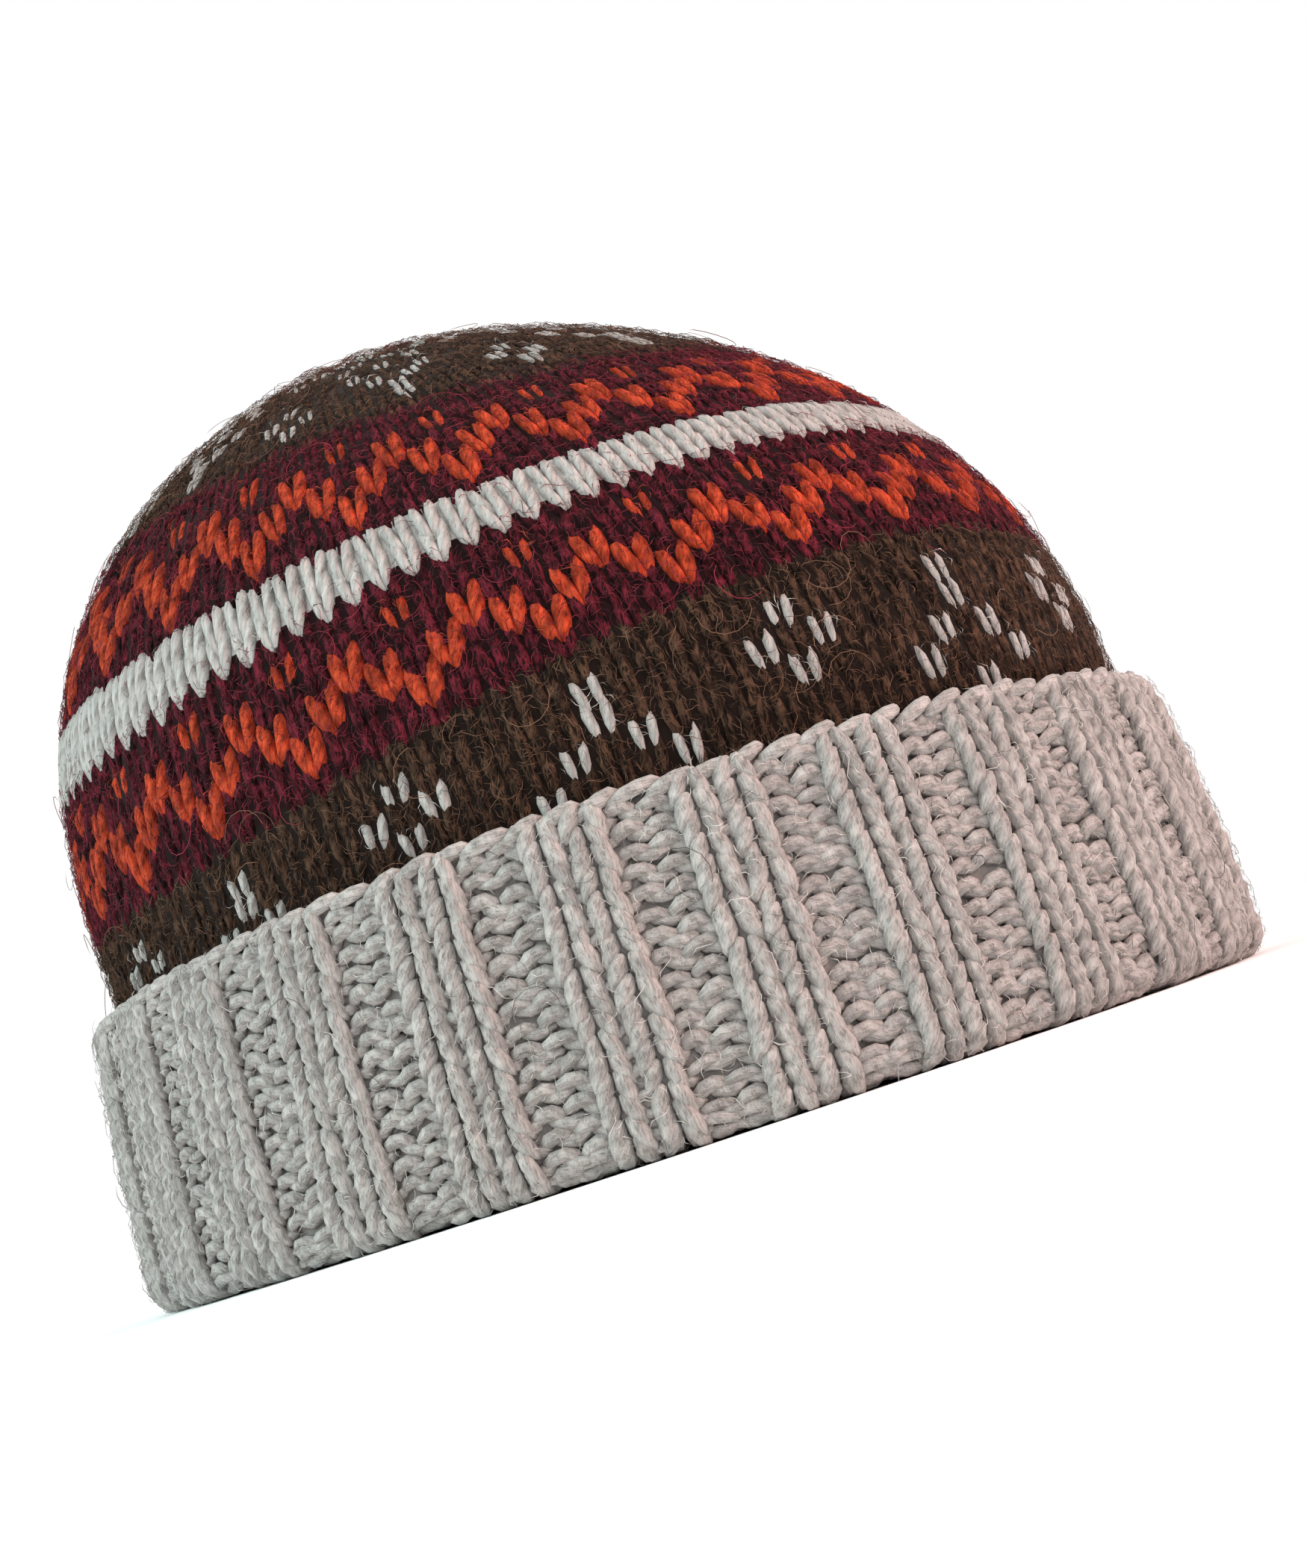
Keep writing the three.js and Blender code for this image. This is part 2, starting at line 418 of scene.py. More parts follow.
class FabricPath:
    """A line of radius and height that knitting follows upwards, measured along itself."""

    STEP, TURN = 0.5, 0.004         # the small length and angle that directions are measured over

    def __init__(self, form: HatForm, line: Array, relief: Array | None = None, dome: bool = False) -> None:
        """Measure the line.

        Args:
            form: The hat's shape.
            line: Close points of radius and height, from the first round to the last.
            relief: How much of the rib shows at each point, 0 to 1.
            dome: Whether the gathered top shapes this fabric.
        """
        self.form = form
        self.line = line
        self.relief_at = relief if relief is not None else np.zeros(len(line))
        self.dome = dome
        steps = np.hypot(*np.diff(line, axis=0).T)
        self.measure = np.concatenate([[0.0], np.cumsum(steps)])
        self.length = float(self.measure[-1])
        slope = np.gradient(line, self.measure, axis=0)
        slope /= np.linalg.norm(slope, axis=1, keepdims=True)
        self.normal = np.stack([slope[:, 1], -slope[:, 0]], axis=1)

    def relief(self, up: Array) -> Array:
        """How much of the rib shows at these lengths along the line."""
        return np.interp(up, self.measure, self.relief_at)

    def place(self, up: Array, angle: Array, depth: Array) -> Array:
        """Find places on the fabric.

        Args:
            up: Lengths along the line.
            angle: Angles about the hat's middle.
            depth: Heights over the surface, outwards.

        Returns:
            Places in rows of x, y and z.
        """
        up = up + self.form.slant(up, angle) if self.dome else up
        radius, height = (
            np.interp(up, self.measure, self.line[:, i])
            + depth * np.interp(up, self.measure, self.normal[:, i])
            for i in (0, 1))
        points = np.stack([radius * np.cos(angle), radius * np.sin(angle), height], axis=1)
        points = self.form.gather_top(points) if self.dome else self.form.turn_up_cuff(points)
        return self.form.fit_to_head(points)

    def axes(self, up: Array, angle: Array, depth: Array) -> tuple[Array, Array, Array]:
        """Find which way is sideways, up and out on the fabric.

        Args:
            up: Lengths along the line.
            angle: Angles about the hat's middle.
            depth: Heights over the surface, outwards.

        Returns:
            Unit vectors sideways, up the column and out of the surface.
        """
        rise = self.place(up + self.STEP, angle, depth) - self.place(up - self.STEP, angle, depth)
        across = self.place(up, angle + self.TURN, depth) - self.place(up, angle - self.TURN, depth)
        rise /= np.linalg.norm(rise, axis=1, keepdims=True)
        across /= np.linalg.norm(across, axis=1, keepdims=True)
        out = np.cross(across, rise)
        out /= np.linalg.norm(out, axis=1, keepdims=True)
        return across, rise, out

    def width_of_turn(self, up: Array, angle: Array, depth: Array) -> Array:
        """Length of one radian around the hat at these places."""
        across = self.place(up, angle + self.TURN, depth) - self.place(up, angle - self.TURN, depth)
        return np.linalg.norm(across, axis=1) / (2 * self.TURN)


def crown_path(form: HatForm) -> FabricPath:
    """Draw the outside of the crown from the fold to the top centre.

    Args:
        form: The hat's shape.

    Returns:
        The path that the crown's rounds follow.
    """
    turn = np.linspace(0, math.pi / 2, 1500)
    radius = form.rim_radius * np.cos(turn) ** (2 / form.top_roundness)
    rise = (form.height - form.shoulder_height) * np.sin(turn) ** (2 / form.shoulder_roundness)
    side = np.linspace(0, form.shoulder_height, 120, endpoint=False)
    line = np.concatenate([
        np.stack([np.full_like(side, form.rim_radius), side], axis=1),
        np.stack([radius, form.shoulder_height + rise], axis=1)])
    return FabricPath(form, line, dome=True)


def smooth_through(points: Array, steps: int) -> Array:
    """Run a smooth line through a few points.

    Args:
        points: The points, in rows of any width.
        steps: How many new points each stretch gets.

    Returns:
        The close points of the line.
    """
    ends = np.concatenate([[2 * points[0] - points[1]], points, [2 * points[-1] - points[-2]]])
    t = np.linspace(0, 1, steps, endpoint=False)[:, None]
    line = []
    for a, b, c, d in zip(ends, ends[1:], ends[2:], ends[3:]):
        line.append(0.5 * (2 * b + (c - a) * t + (2 * a - 5 * b + 4 * c - d) * t ** 2
                           + (3 * b - a - 3 * c + d) * t ** 3))
    return np.concatenate(line + [points[-1:]])


def cuff_path(form: HatForm) -> FabricPath:
    """Draw the cuff's outside from the inner lip of the fold, round its underside, to its top edge.

    Args:
        form: The hat's shape.

    Returns:
        The path that the cuff's rounds follow, at the middle of the ribs' relief.
    """
    under = form.rim_radius - form.wall
    outside = form.rim_radius + form.gap + form.cuff_thickness
    stations = np.array([
        # radius, height, relief
        (under + 0.1, 4.2, 0.0),
        (under + 0.5, 1.6, 0.0),
        (under + 2.4, 0.1, 0.0),
        (outside - 1.9, 0.1, 0.2),
        (outside + 0.5, 1.7, 0.7),
        (outside + 1.5, 5.8, 1.0),
        (outside + 0.8, 24.0, 1.0),
        (outside - 0.7, 43.0, 1.0),
        (outside - 1.1, 47.0, 0.75),
        (outside - 1.7, 49.4, 0.4),
    ])
    line = smooth_through(stations, 24)
    return FabricPath(form, line[:, :2], relief=np.clip(line[:, 2], 0, 1))


@dataclass(frozen=True)
class Band:
    """A run of rounds in one motif."""

    name: str
    rounds: int


class PatternChart:
    """The knitted pattern, round by round from the fold to the top centre."""

    BANDS = (
        Band("zigzag", 6), Band("flakes", 11), Band("zigzag", 6), Band("stripe", 2), Band("zigzag", 6),
        Band("flakes", 11), Band("plain", 7),
    )
    WEDGES = 9
    # From this round on, a wedge of the crown has so many stitches
    SHAPING = ((0, 12), (36, 10), (39, 8), (42, 6), (44, 5), (45, 4), (46, 3), (47, 2), (48, 1))
    # Orange stitches of each zigzag round, as columns of a four-stitch repeat, lowest round first
    ZIGZAG = ((), (0,), (1, 3), (2,), (0,), ())
    LONE = 4        # which of its rounds has lone stitches
    # Pale stitches of each flake round, as distances from the two flakes' centres
    FLAKE_A = ((), (0,), (0,), (1,), (2,), (0,), (2,), (1,), (0,), (0,), ())
    FLAKE_B = ((), (0,), (1,), (0,), (), (), (), (0,), (1,), (0,), ())

    def __init__(self) -> None:
        """List which motif and which of its rounds each round of the crown is."""
        self.rounds = [(band.name, i) for band in self.BANDS for i in range(band.rounds)]

    def stitches(self, row: int) -> int:
        """How many stitches a wedge has in this round."""
        return [count for first, count in self.SHAPING if first <= row][-1]

    def motif(self, row: int) -> tuple[str, int]:
        """Say which motif a round is in, and which of its rounds it is."""
        return self.rounds[min(row, len(self.rounds) - 1)]

    def base(self, row: int) -> Wool:
        """Say which yarn the round's band is mostly in."""
        return {"stripe": Wool.PALE, "flakes": Wool.BROWN}.get(self.motif(row)[0], Wool.BURGUNDY)

    def sunken(self, row: int) -> bool:
        """Say whether the round's motif stitches stand alone, so that the yarn around half covers them."""
        motif, step = self.motif(row)
        return motif == "flakes" or (motif == "zigzag" and step == self.LONE)

    def wool(self, row: int, column: int) -> Wool:
        """Say which yarn a stitch is knitted in.

        Args:
            row: The round, from the fold.
            column: The stitch's place in its wedge, from the wedge's centre.

        Returns:
            The stitch's yarn.
        """
        motif, step = self.motif(row)
        count = self.stitches(row)
        column %= count
        if motif == "stripe":
            return Wool.PALE
        if motif == "zigzag":
            return Wool.ORANGE if column % 4 in self.ZIGZAG[step] else Wool.BURGUNDY
        if motif == "flakes":
            from_a = min(column, count - column)
            from_b = abs(column - count // 2)
            pale = from_a in self.FLAKE_A[step] or from_b in self.FLAKE_B[step]
            return Wool.PALE if pale else Wool.BROWN
        return Wool.BURGUNDY


@dataclass
class Strand:
    """A short length of yarn: a centre line with a radius at each point and closed ends."""

    points: Sequence[tuple[float, float, float]]
    radii: Sequence[float]
    sides: int = 6

    @classmethod
    def drawn(cls, line: Line, sides: int = 6, hand: int = 1,
              wide: float = 1.0, high: float = 1.0) -> "Strand":
        """Make a strand from points that each carry their radius.

        Args:
            line: Sideways, up, out and radius of each point.
            sides: How many sides the strand has.
            hand: 1, or -1 to mirror it.
            wide: What sideways, out and radius are multiplied by.
            high: What up is multiplied by.

        Returns:
            The strand.
        """
        points = [(hand * x * wide, y * high, z * wide) for x, y, z, _ in line]
        return cls(points, [radius * wide for *_, radius in line], sides)

    def build(self, start: int) -> tuple[list, list, list]:
        """Skin the centre line.

        Args:
            start: Number of the first corner, where strands share a mesh.

        Returns:
            Corners, faces and each face corner's place on the strand's own map.
        """
        centre = np.array(self.points, float)
        way = np.gradient(centre, axis=0)
        way /= np.linalg.norm(way, axis=1, keepdims=True)
        side = np.cross(way, (0.0, 0.0, 1.0)) + (1e-6, 0, 0)
        side /= np.linalg.norm(side, axis=1, keepdims=True)
        over = np.cross(side, way)
        along = np.concatenate([[0.0], np.cumsum(np.linalg.norm(np.diff(centre, axis=0), axis=1))])
        corners = [tuple(centre[0])]
        for i in range(1, len(centre) - 1):
            for j in range(self.sides):
                turn = 2 * math.pi * j / self.sides
                corners.append(tuple(centre[i] + self.radii[i] * (
                    math.cos(turn) * side[i] + math.sin(turn) * over[i])))
        corners.append(tuple(centre[-1]))
        rings = len(centre) - 2
        faces, maps = [], []

        def corner(ring: int, j: int) -> int:
            """Number of a corner on a ring."""
            return start + 1 + ring * self.sides + j % self.sides

        for j in range(self.sides):
            u0, u1 = j / self.sides, (j + 1) / self.sides
            faces.append((start, corner(0, j + 1), corner(0, j)))
            maps.append(((u0 + u1) / 2, along[0], u1, along[1], u0, along[1]))
            for ring in range(rings - 1):
                faces.append((corner(ring, j), corner(ring, j + 1),
                              corner(ring + 1, j + 1), corner(ring + 1, j)))
                low, high = along[ring + 1], along[ring + 2]
                maps.append((u0, low, u1, low, u1, high, u0, high))
            faces.append((corner(rings - 1, j), corner(rings - 1, j + 1), start + len(corners) - 1))
            maps.append((u0, along[-2], u1, along[-2], (u0 + u1) / 2, along[-1]))
        return corners, faces, maps


def yarn_mesh(name: str, strands: Iterable[Strand]) -> bpy.types.Object:
    """Make one small object of a few strands, to be repeated.

    Args:
        name: The object's name.
        strands: The strands, in millimetres.

    Returns:
        An object in the scene, which is removed once it has been repeated.
    """
    corners: list = []
    faces: list = []
    maps: list = []
    for strand in strands:
        more = strand.build(len(corners))
        corners += more[0]
        faces += more[1]
        maps += more[2]
    mesh = bpy.data.meshes.new(name)
    mesh.from_pydata([tuple(c * MM for c in corner) for corner in corners], [], faces)
    layer = mesh.uv_layers.new(name="strand")
    layer.data.foreach_set("uv", np.concatenate([np.array(m, np.float32) for m in maps]))
    mesh.shade_smooth()
    return add_to_scene(name, mesh)


class Leg(Enum):
    """Shapes of a knit stitch's leg: place sideways, up and out, and radius, from its foot upwards.

    Sideways, out and radius are in widths of a stitch, and up is in rounds.
    """

    LONG = ((0.06, -0.98, -0.02, 0), (0.09, -0.84, 0.06, 0.14), (0.15, -0.42, 0.13, 0.2),
            (0.225, 0.08, 0.13, 0.22), (0.262, 0.55, 0.08, 0.222), (0.275, 0.86, 0.0, 0.185),
            (0.28, 1.04, -0.14, 0))
    SLIM = ((0.15, -0.84, -0.16, 0), (0.175, -0.62, 0.0, 0.1), (0.22, -0.15, 0.1, 0.16),
            (0.265, 0.36, 0.1, 0.165), (0.285, 0.76, 0.0, 0.11), (0.285, 0.98, -0.2, 0))
    MATTED = ((0.1, -0.9, -0.1, 0), (0.16, -0.42, 0.08, 0.18), (0.225, 0.12, 0.1, 0.215),
              (0.27, 0.76, 0.0, 0.205), (0.28, 1.05, -0.24, 0))


class Loops:
    """The shapes of yarn that the hat is knitted from, at their usual size in millimetres."""

    STITCH = (5.3, 4.23)        # width of a stitch of the crown, and height of its round
    RIB_ROUND = 2.95
    # Lines of sideways, up, out and radius; up is in rounds in the rope
    ROPE = ((3.0, -1.08, -1.0, 0), (2.62, -0.74, -0.1, 0.95), (2.12, -0.26, 0.45, 1.4),
            (1.5, 0.26, 0.66, 1.42), (0.98, 0.72, 0.35, 1.05), (0.7, 1.04, -0.7, 0))
    RUNG = ((-2.3, -0.5, -0.6, 0), (-0.9, 0.1, 0.15, 1.0), (0.9, 0.2, 0.15, 1.0), (2.3, 0.6, -0.6, 0))
    ARC = ((-3.5, -1.15, -1.0, 0), (-2.3, -0.5, 0.1, 1.0), (-0.8, 0.3, 0.6, 1.16),
           (0.9, 0.45, 0.6, 1.16), (2.3, -0.1, 0.15, 1.0), (3.5, -0.95, -1.0, 0))
    BUMP = ((-2.9, -0.9, -0.6, 0), (-1.1, 0.25, 0.4, 1.05), (1.1, 0.25, 0.4, 1.05), (2.9, -0.9, -0.6, 0))
    LINK = ((-4.4, -1.0, -0.9, 0), (-3.0, -0.7, 0.0, 0.95), (-1.0, -0.2, 0.45, 1.2),
            (1.2, 0.3, 0.5, 1.2), (3.2, 0.7, 0.25, 0.95), (4.6, 0.95, -0.7, 0))
    # Centre lines of the loose fibres, rooted just under the yarn's surface
    SHORT_FIBRE = ((-1.2, 0, -0.3), (0.1, 0.3, 0.45), (1.3, -0.1, 0.15))
    BENT_FIBRE = ((-2.4, -0.4, -0.3), (-0.9, 0.3, 0.45), (0.9, -0.2, 0.7), (2.5, 0.5, 0.3))

    @classmethod
    def knit(cls, name: str, leg: Leg) -> bpy.types.Object:
        """The two legs of a knit stitch, which make a V.

        Args:
            name: The object's name.
            leg: Which shape its legs have.

        Returns:
            The stitch.
        """
        wide, high = cls.STITCH
        sides = 5 if leg is Leg.MATTED else 6
        return yarn_mesh(name, [Strand.drawn(leg.value, sides, hand, wide, high) for hand in (-1, 1)])

    @classmethod
    def rib_knit(cls, name: str) -> bpy.types.Object:
        """The two near-upright legs of a knit stitch in the rib, which hangs upside down."""
        return yarn_mesh(name, [Strand.drawn(cls.ROPE, hand=hand, high=cls.RIB_ROUND) for hand in (-1, 1)])

    @classmethod
    def rib_rung(cls, name: str) -> bpy.types.Object:
        """The short bar of yarn that shows between two columns of the rib."""
        return yarn_mesh(name, [Strand.drawn(cls.RUNG, sides=4)])

    @classmethod
    def rib_purl(cls, name: str) -> bpy.types.Object:
        """The head of a purl stitch and the yarn that runs on to the next, as two arcs."""
        foot = [(x + 2.7, -0.75 * y - 1.05, z - 0.35, 0.95 * r) for x, y, z, r in cls.ARC]
        return yarn_mesh(name, [Strand.drawn(line, sides=5) for line in (cls.ARC, foot)])

    @classmethod
    def inside_purl(cls, name: str) -> bpy.types.Object:
        """The small bump that each stitch of the crown shows on the inside."""
        return yarn_mesh(name, [Strand.drawn(cls.BUMP, sides=4)])

    @classmethod
    def edge_link(cls, name: str) -> bpy.types.Object:
        """One slanting link of the cast-on edge."""
        return yarn_mesh(name, [Strand.drawn(cls.LINK, sides=7)])

    @staticmethod
    def hair(name: str, spine: Sequence[tuple[float, float, float]], thickness: float) -> bpy.types.Object:
        """A loose fibre.

        Args:
            name: The object's name.
            spine: Its centre line.
            thickness: Its width.

        Returns:
            The fibre.
        """
        radii = [0.0] + [thickness / 2] * (len(spine) - 2) + [0.0]
        return yarn_mesh(name, [Strand(spine, radii, sides=3)])

    @classmethod
    def curl(cls, name: str, reach: float, turn: float, steps: int, thickness: float) -> bpy.types.Object:
        """A long fibre that curls flat over the yarn.

        Args:
            name: The object's name.
            reach: The curl's radius.
            turn: The angle that it runs through.
            steps: How many points it has.
            thickness: Its width.

        Returns:
            The fibre.
        """
        spine = [(0.0, 0.0, -0.5)]
        for i in range(steps):
            along = turn * (i + 0.5) / steps
            widening = reach * (0.55 + 0.45 * along / turn)
            spine.append((widening * math.sin(along), widening * (1 - math.cos(along)),
                          0.25 + 0.75 * math.sin(along * 0.55)))
        return cls.hair(name, spine, thickness)


class GeometryTree:
    """A geometry node tree with named inputs, and the modifier that runs it."""

    def __init__(self, name: str) -> None:
        """Start an empty tree that takes and gives geometry.

        Args:
            name: The tree's name.
        """
        self.tree = bpy.data.node_groups.new(name, "GeometryNodeTree")
        self.tree.is_modifier = True
        self.board = NodeBoard(self.tree)
        self.sockets: dict[str, str] = {}
        self.tree.interface.new_socket("Geometry", in_out="INPUT", socket_type="NodeSocketGeometry")
        self.tree.interface.new_socket("Geometry", in_out="OUTPUT", socket_type="NodeSocketGeometry")

    def named_input(self, name: str, kind: str) -> None:
        """Add a named input to the tree.

        Args:
            name: The input's name.
            kind: Its socket type, without the common start of the name.
        """
        made = self.tree.interface.new_socket(name, in_out="INPUT", socket_type=f"NodeSocket{kind}")
        self.sockets[name] = made.identifier

    def run(self, carrier: bpy.types.Object, values: dict[str, object]) -> None:
        """Run the tree on an object and keep only the plain mesh that comes out.

        Args:
            carrier: The object whose mesh feeds the tree, and which gets the finished mesh.
            values: Input name to value.
        """
        modifier = carrier.modifiers.new(self.tree.name, "NODES")
        modifier.node_group = self.tree
        for name, value in values.items():
            modifier[self.sockets[name]] = value
        bpy.context.view_layer.update()
        depsgraph = bpy.context.evaluated_depsgraph_get()
        done = bpy.data.meshes.new_from_object(
            carrier.evaluated_get(depsgraph), preserve_all_data_layers=True, depsgraph=depsgraph)
        carrier.modifiers.remove(modifier)
        before = carrier.data
        carrier.data = done
        bpy.data.meshes.remove(before)
        done.name = carrier.name
        press_on_floor(done)


def press_on_floor(mesh: bpy.types.Mesh) -> None:
    """Press what would hang under the floor flat on it, as the hat's own weight does.

    Args:
        mesh: The mesh to press.
    """
    places = np.empty(3 * len(mesh.vertices), dtype=np.float32)
    mesh.vertices.foreach_get("co", places)
    height = places[2::3]
    low = height < PRESSED
    height[low] = PRESSED * np.exp(height[low] / PRESSED - 1)
    mesh.vertices.foreach_set("co", places)
    mesh.update()


def stitch_tree() -> GeometryTree:
    """Build the tree that sets a loop of yarn on each point, turned to the fabric.

    Returns:
        The tree, whose points carry up_way, out_way and loop_size.
    """
    made = GeometryTree("set_stitches")
    for name, kind in (("Loop", "Object"), ("Uneven Turn", "Float"), ("Uneven Size", "Float"),
                       ("Seed", "Int"), ("Wool", "Material")):
        made.named_input(name, kind)
    board = made.board
    source = board.add("NodeGroupInput").outputs
    up_way, out_way, size = (
        board.add("GeometryNodeInputNamedAttribute", {"Name": name}, data_type="FLOAT_VECTOR")
        for name in ("up_way", "out_way", "loop_size"))
    aligned = board.add("FunctionNodeAxesToRotation", {
        "Primary Axis": out_way.outputs[0], "Secondary Axis": up_way.outputs[0]},
        primary_axis="Z", secondary_axis="Y")

    def uneven(seed: Socket, amount: Socket) -> Socket:
        """Draw three even random numbers for each point.

        Args:
            seed: What the draw starts from.
            amount: The greatest number either way.

        Returns:
            The numbers, as a vector.
        """
        drawn = board.add("FunctionNodeRandomValue", {
            0: (-1.0, -1.0, -1.0), 1: (1.0, 1.0, 1.0), "Seed": seed}, data_type="FLOAT_VECTOR")
        scaled = board.add("ShaderNodeVectorMath", {0: drawn.outputs[0], "Scale": amount}, operation="SCALE")
        return scaled.outputs[0]

    turned = uneven(source["Seed"], source["Uneven Turn"])
    by = board.add("FunctionNodeEulerToRotation", {0: turned})
    rotation = board.add("FunctionNodeRotateRotation", {
        0: aligned.outputs[0], 1: by.outputs[0]}, rotation_space="LOCAL")
    swell = uneven(board.math("ADD", source["Seed"], 17.0), source["Uneven Size"])
    grown = board.add("ShaderNodeVectorMath", {0: swell, 1: (1.0, 1.0, 1.0)}, operation="ADD")
    sized = board.add("ShaderNodeVectorMath", {0: size.outputs[0], 1: grown.outputs[0]}, operation="MULTIPLY")
    loop = board.add("GeometryNodeObjectInfo", {"Object": source["Loop"]})
    placed = board.add("GeometryNodeInstanceOnPoints", {
        "Points": source["Geometry"], "Instance": loop.outputs["Geometry"],
        "Rotation": rotation.outputs[0], "Scale": sized.outputs[0]})
    real = board.add("GeometryNodeRealizeInstances", {0: placed.outputs[0]})
    dressed = board.add("GeometryNodeSetMaterial", {"Geometry": real.outputs[0], "Material": source["Wool"]})
    board.add("NodeGroupOutput", {0: dressed.outputs[0]})
    return made


class HaloTree(GeometryTree):
    """The tree that grows loose fibres on a surface, more where the yarn is hairier."""

    PER_SQUARE_METRE = {"Short": 6.6e5, "Bent": 7.5e4, "Long": 7.0e3}
    LEAN = (-0.25, 0.2)         # how far fibres lean into the surface and out of it
    TONES = (0.15, 1.3)         # lightness of all but the long fibres
    SIZES = (0.6, 1.35)
    SEED_STEP = 10.0            # between the seeds of two kinds

    def __init__(self) -> None:
        """Build the tree, whose surface carries fluff and wool_colour."""
        super().__init__("grow_halo")
        for kind in self.PER_SQUARE_METRE:
            self.named_input(f"{kind} Fibre", "Object")
            self.named_input(f"{kind} per Square Metre", "Float")
        for name in ("Least Lean", "Most Lean", "Least Curl Tone", "Most Curl Tone"):
            self.named_input(name, "Float")
        self.named_input("Seed", "Int")
        self.named_input("Wool", "Material")
        self.source = self.board.add("NodeGroupInput").outputs
        joined = self.board.add("GeometryNodeJoinGeometry")
        for i, kind in enumerate(self.PER_SQUARE_METRE):
            self.tree.links.new(self.growth(kind, self.SEED_STEP * i), joined.inputs[0])
        real = self.board.add("GeometryNodeRealizeInstances", {0: joined.outputs[0]})
        dressed = self.board.add("GeometryNodeSetMaterial", {
            "Geometry": real.outputs[0], "Material": self.source["Wool"]})
        self.board.add("NodeGroupOutput", {0: dressed.outputs[0]})

    def spread(self, low: object, high: object, step: float) -> Socket:
        """Draw an even random number for each fibre.

        Args:
            low: The least number, or a socket that gives it.
            high: The greatest number, or a socket that gives it.
            step: What is added to the seed, so that draws differ.

        Returns:
            The number.
        """
        seed = self.board.math("ADD", self.source["Seed"], step)
        drawn = self.board.add("FunctionNodeRandomValue", {"Seed": seed}, data_type="FLOAT")
        for name, value in (("Min", low), ("Max", high)):
            target = next(i for i in drawn.inputs if i.name == name and i.type == "VALUE")
            if isinstance(value, Socket):
                self.tree.links.new(value, target)
            else:
                target.default_value = value
        return next(o for o in drawn.outputs if o.type == "VALUE")

    def growth(self, kind: str, step: float) -> Socket:
        """Grow one kind of fibre.

        Args:
            kind: Which of the kinds.
            step: What is added to the seed.

        Returns:
            The fibres, not yet realized.
        """
        board = self.board
        fluff = board.add("GeometryNodeInputNamedAttribute", {"Name": "fluff"}, data_type="FLOAT")
        density = board.math("MULTIPLY", fluff.outputs[0], self.source[f"{kind} per Square Metre"])
        seed = board.math("ADD", self.source["Seed"], step)
        roots = board.add("GeometryNodeDistributePointsOnFaces", {
            "Mesh": self.source["Geometry"], "Density": density, "Seed": seed}, distribute_method="RANDOM")
        lean = self.spread(self.source["Least Lean"], self.source["Most Lean"], step + 1)
        bearing = self.spread(0.0, 2 * math.pi, step + 2)
        angles = board.add("ShaderNodeCombineXYZ", {0: lean, 2: bearing})
        by = board.add("FunctionNodeEulerToRotation", {0: angles.outputs[0]})
        rotation = board.add("FunctionNodeRotateRotation", {
            0: roots.outputs["Rotation"], 1: by.outputs[0]}, rotation_space="LOCAL")
        tones = self.TONES
        if kind == "Long":
            tones = (self.source["Least Curl Tone"], self.source["Most Curl Tone"])
        tone = board.add("GeometryNodeStoreNamedAttribute", {
            "Geometry": roots.outputs["Points"], "Name": "tone", "Value": self.spread(*tones, step + 3)},
            data_type="FLOAT", domain="POINT")
        fibre = board.add("GeometryNodeObjectInfo", {"Object": self.source[f"{kind} Fibre"]})
        placed = board.add("GeometryNodeInstanceOnPoints", {
            "Points": tone.outputs[0], "Instance": fibre.outputs["Geometry"],
            "Rotation": rotation.outputs[0], "Scale": self.spread(*self.SIZES, step + 4)})
        return placed.outputs[0]


@dataclass(frozen=True)
class Play:
    """How unevenly one kind of stitch is knitted: the least and the greatest of each difference."""

    up: Range
    tilt: Range
    depth: Range = (0.0, 0.0)
    width: Range = (1.0, 1.0)
    tall: Range = (1.0, 1.0)
    out: Range = (1.0, 1.0)


@dataclass
class StitchSet:
    """Stitches of one kind and one yarn, gathered before they are made into a piece."""

    path: FabricPath
    up: list[float] = field(default_factory=list)
    angle: list[float] = field(default_factory=list)
    depth: list[float] = field(default_factory=list)
    size: list[tuple[float, float, float]] = field(default_factory=list)
    tilt: list[float] = field(default_factory=list)

    TONE = 0.07         # how much stitches differ in lightness

    def add(self, up: float, angle: float, depth: float, size: tuple[float, float, float],
            tilt: float = 0.0) -> None:
        """Add one stitch.

        Args:
            up: Length along the fabric.
            angle: Angle about the hat.
            depth: Height over the surface.
            size: Scale sideways, up and out.
            tilt: Angle that it leans by in the fabric.
        """
        self.up.append(up)
        self.angle.append(angle)
        self.depth.append(depth)
        self.size.append(size)
        self.tilt.append(tilt)

    def carrier(self, name: str, inward: bool, rng: np.random.Generator) -> bpy.types.Object:
        """Make the points that a tree sets the stitches on.

        Args:
            name: The piece's name.
            inward: Whether the stitches face the inside of the hat.
            rng: Source of small differences.

        Returns:
            An object with one corner for each stitch.
        """
        up, angle, depth = (np.array(v, float) for v in (self.up, self.angle, self.depth))
        places = self.path.place(up, angle, depth)
        across, rise, out = self.path.axes(up, angle, depth)
        tilt = np.array(self.tilt)[:, None]
        rise = np.cos(tilt) * rise + np.sin(tilt) * across
        if inward:
            out = -out
        mesh = bpy.data.meshes.new(name)
        mesh.from_pydata([tuple(p) for p in places * MM], [], [])
        for label, values in (("up_way", rise), ("out_way", out), ("loop_size", self.size)):
            store(mesh, label, "FLOAT_VECTOR", "POINT", values)
        store(mesh, "tone", "FLOAT", "POINT", 1 + rng.uniform(-self.TONE, self.TONE, len(up)))
        return add_to_scene(name, mesh)


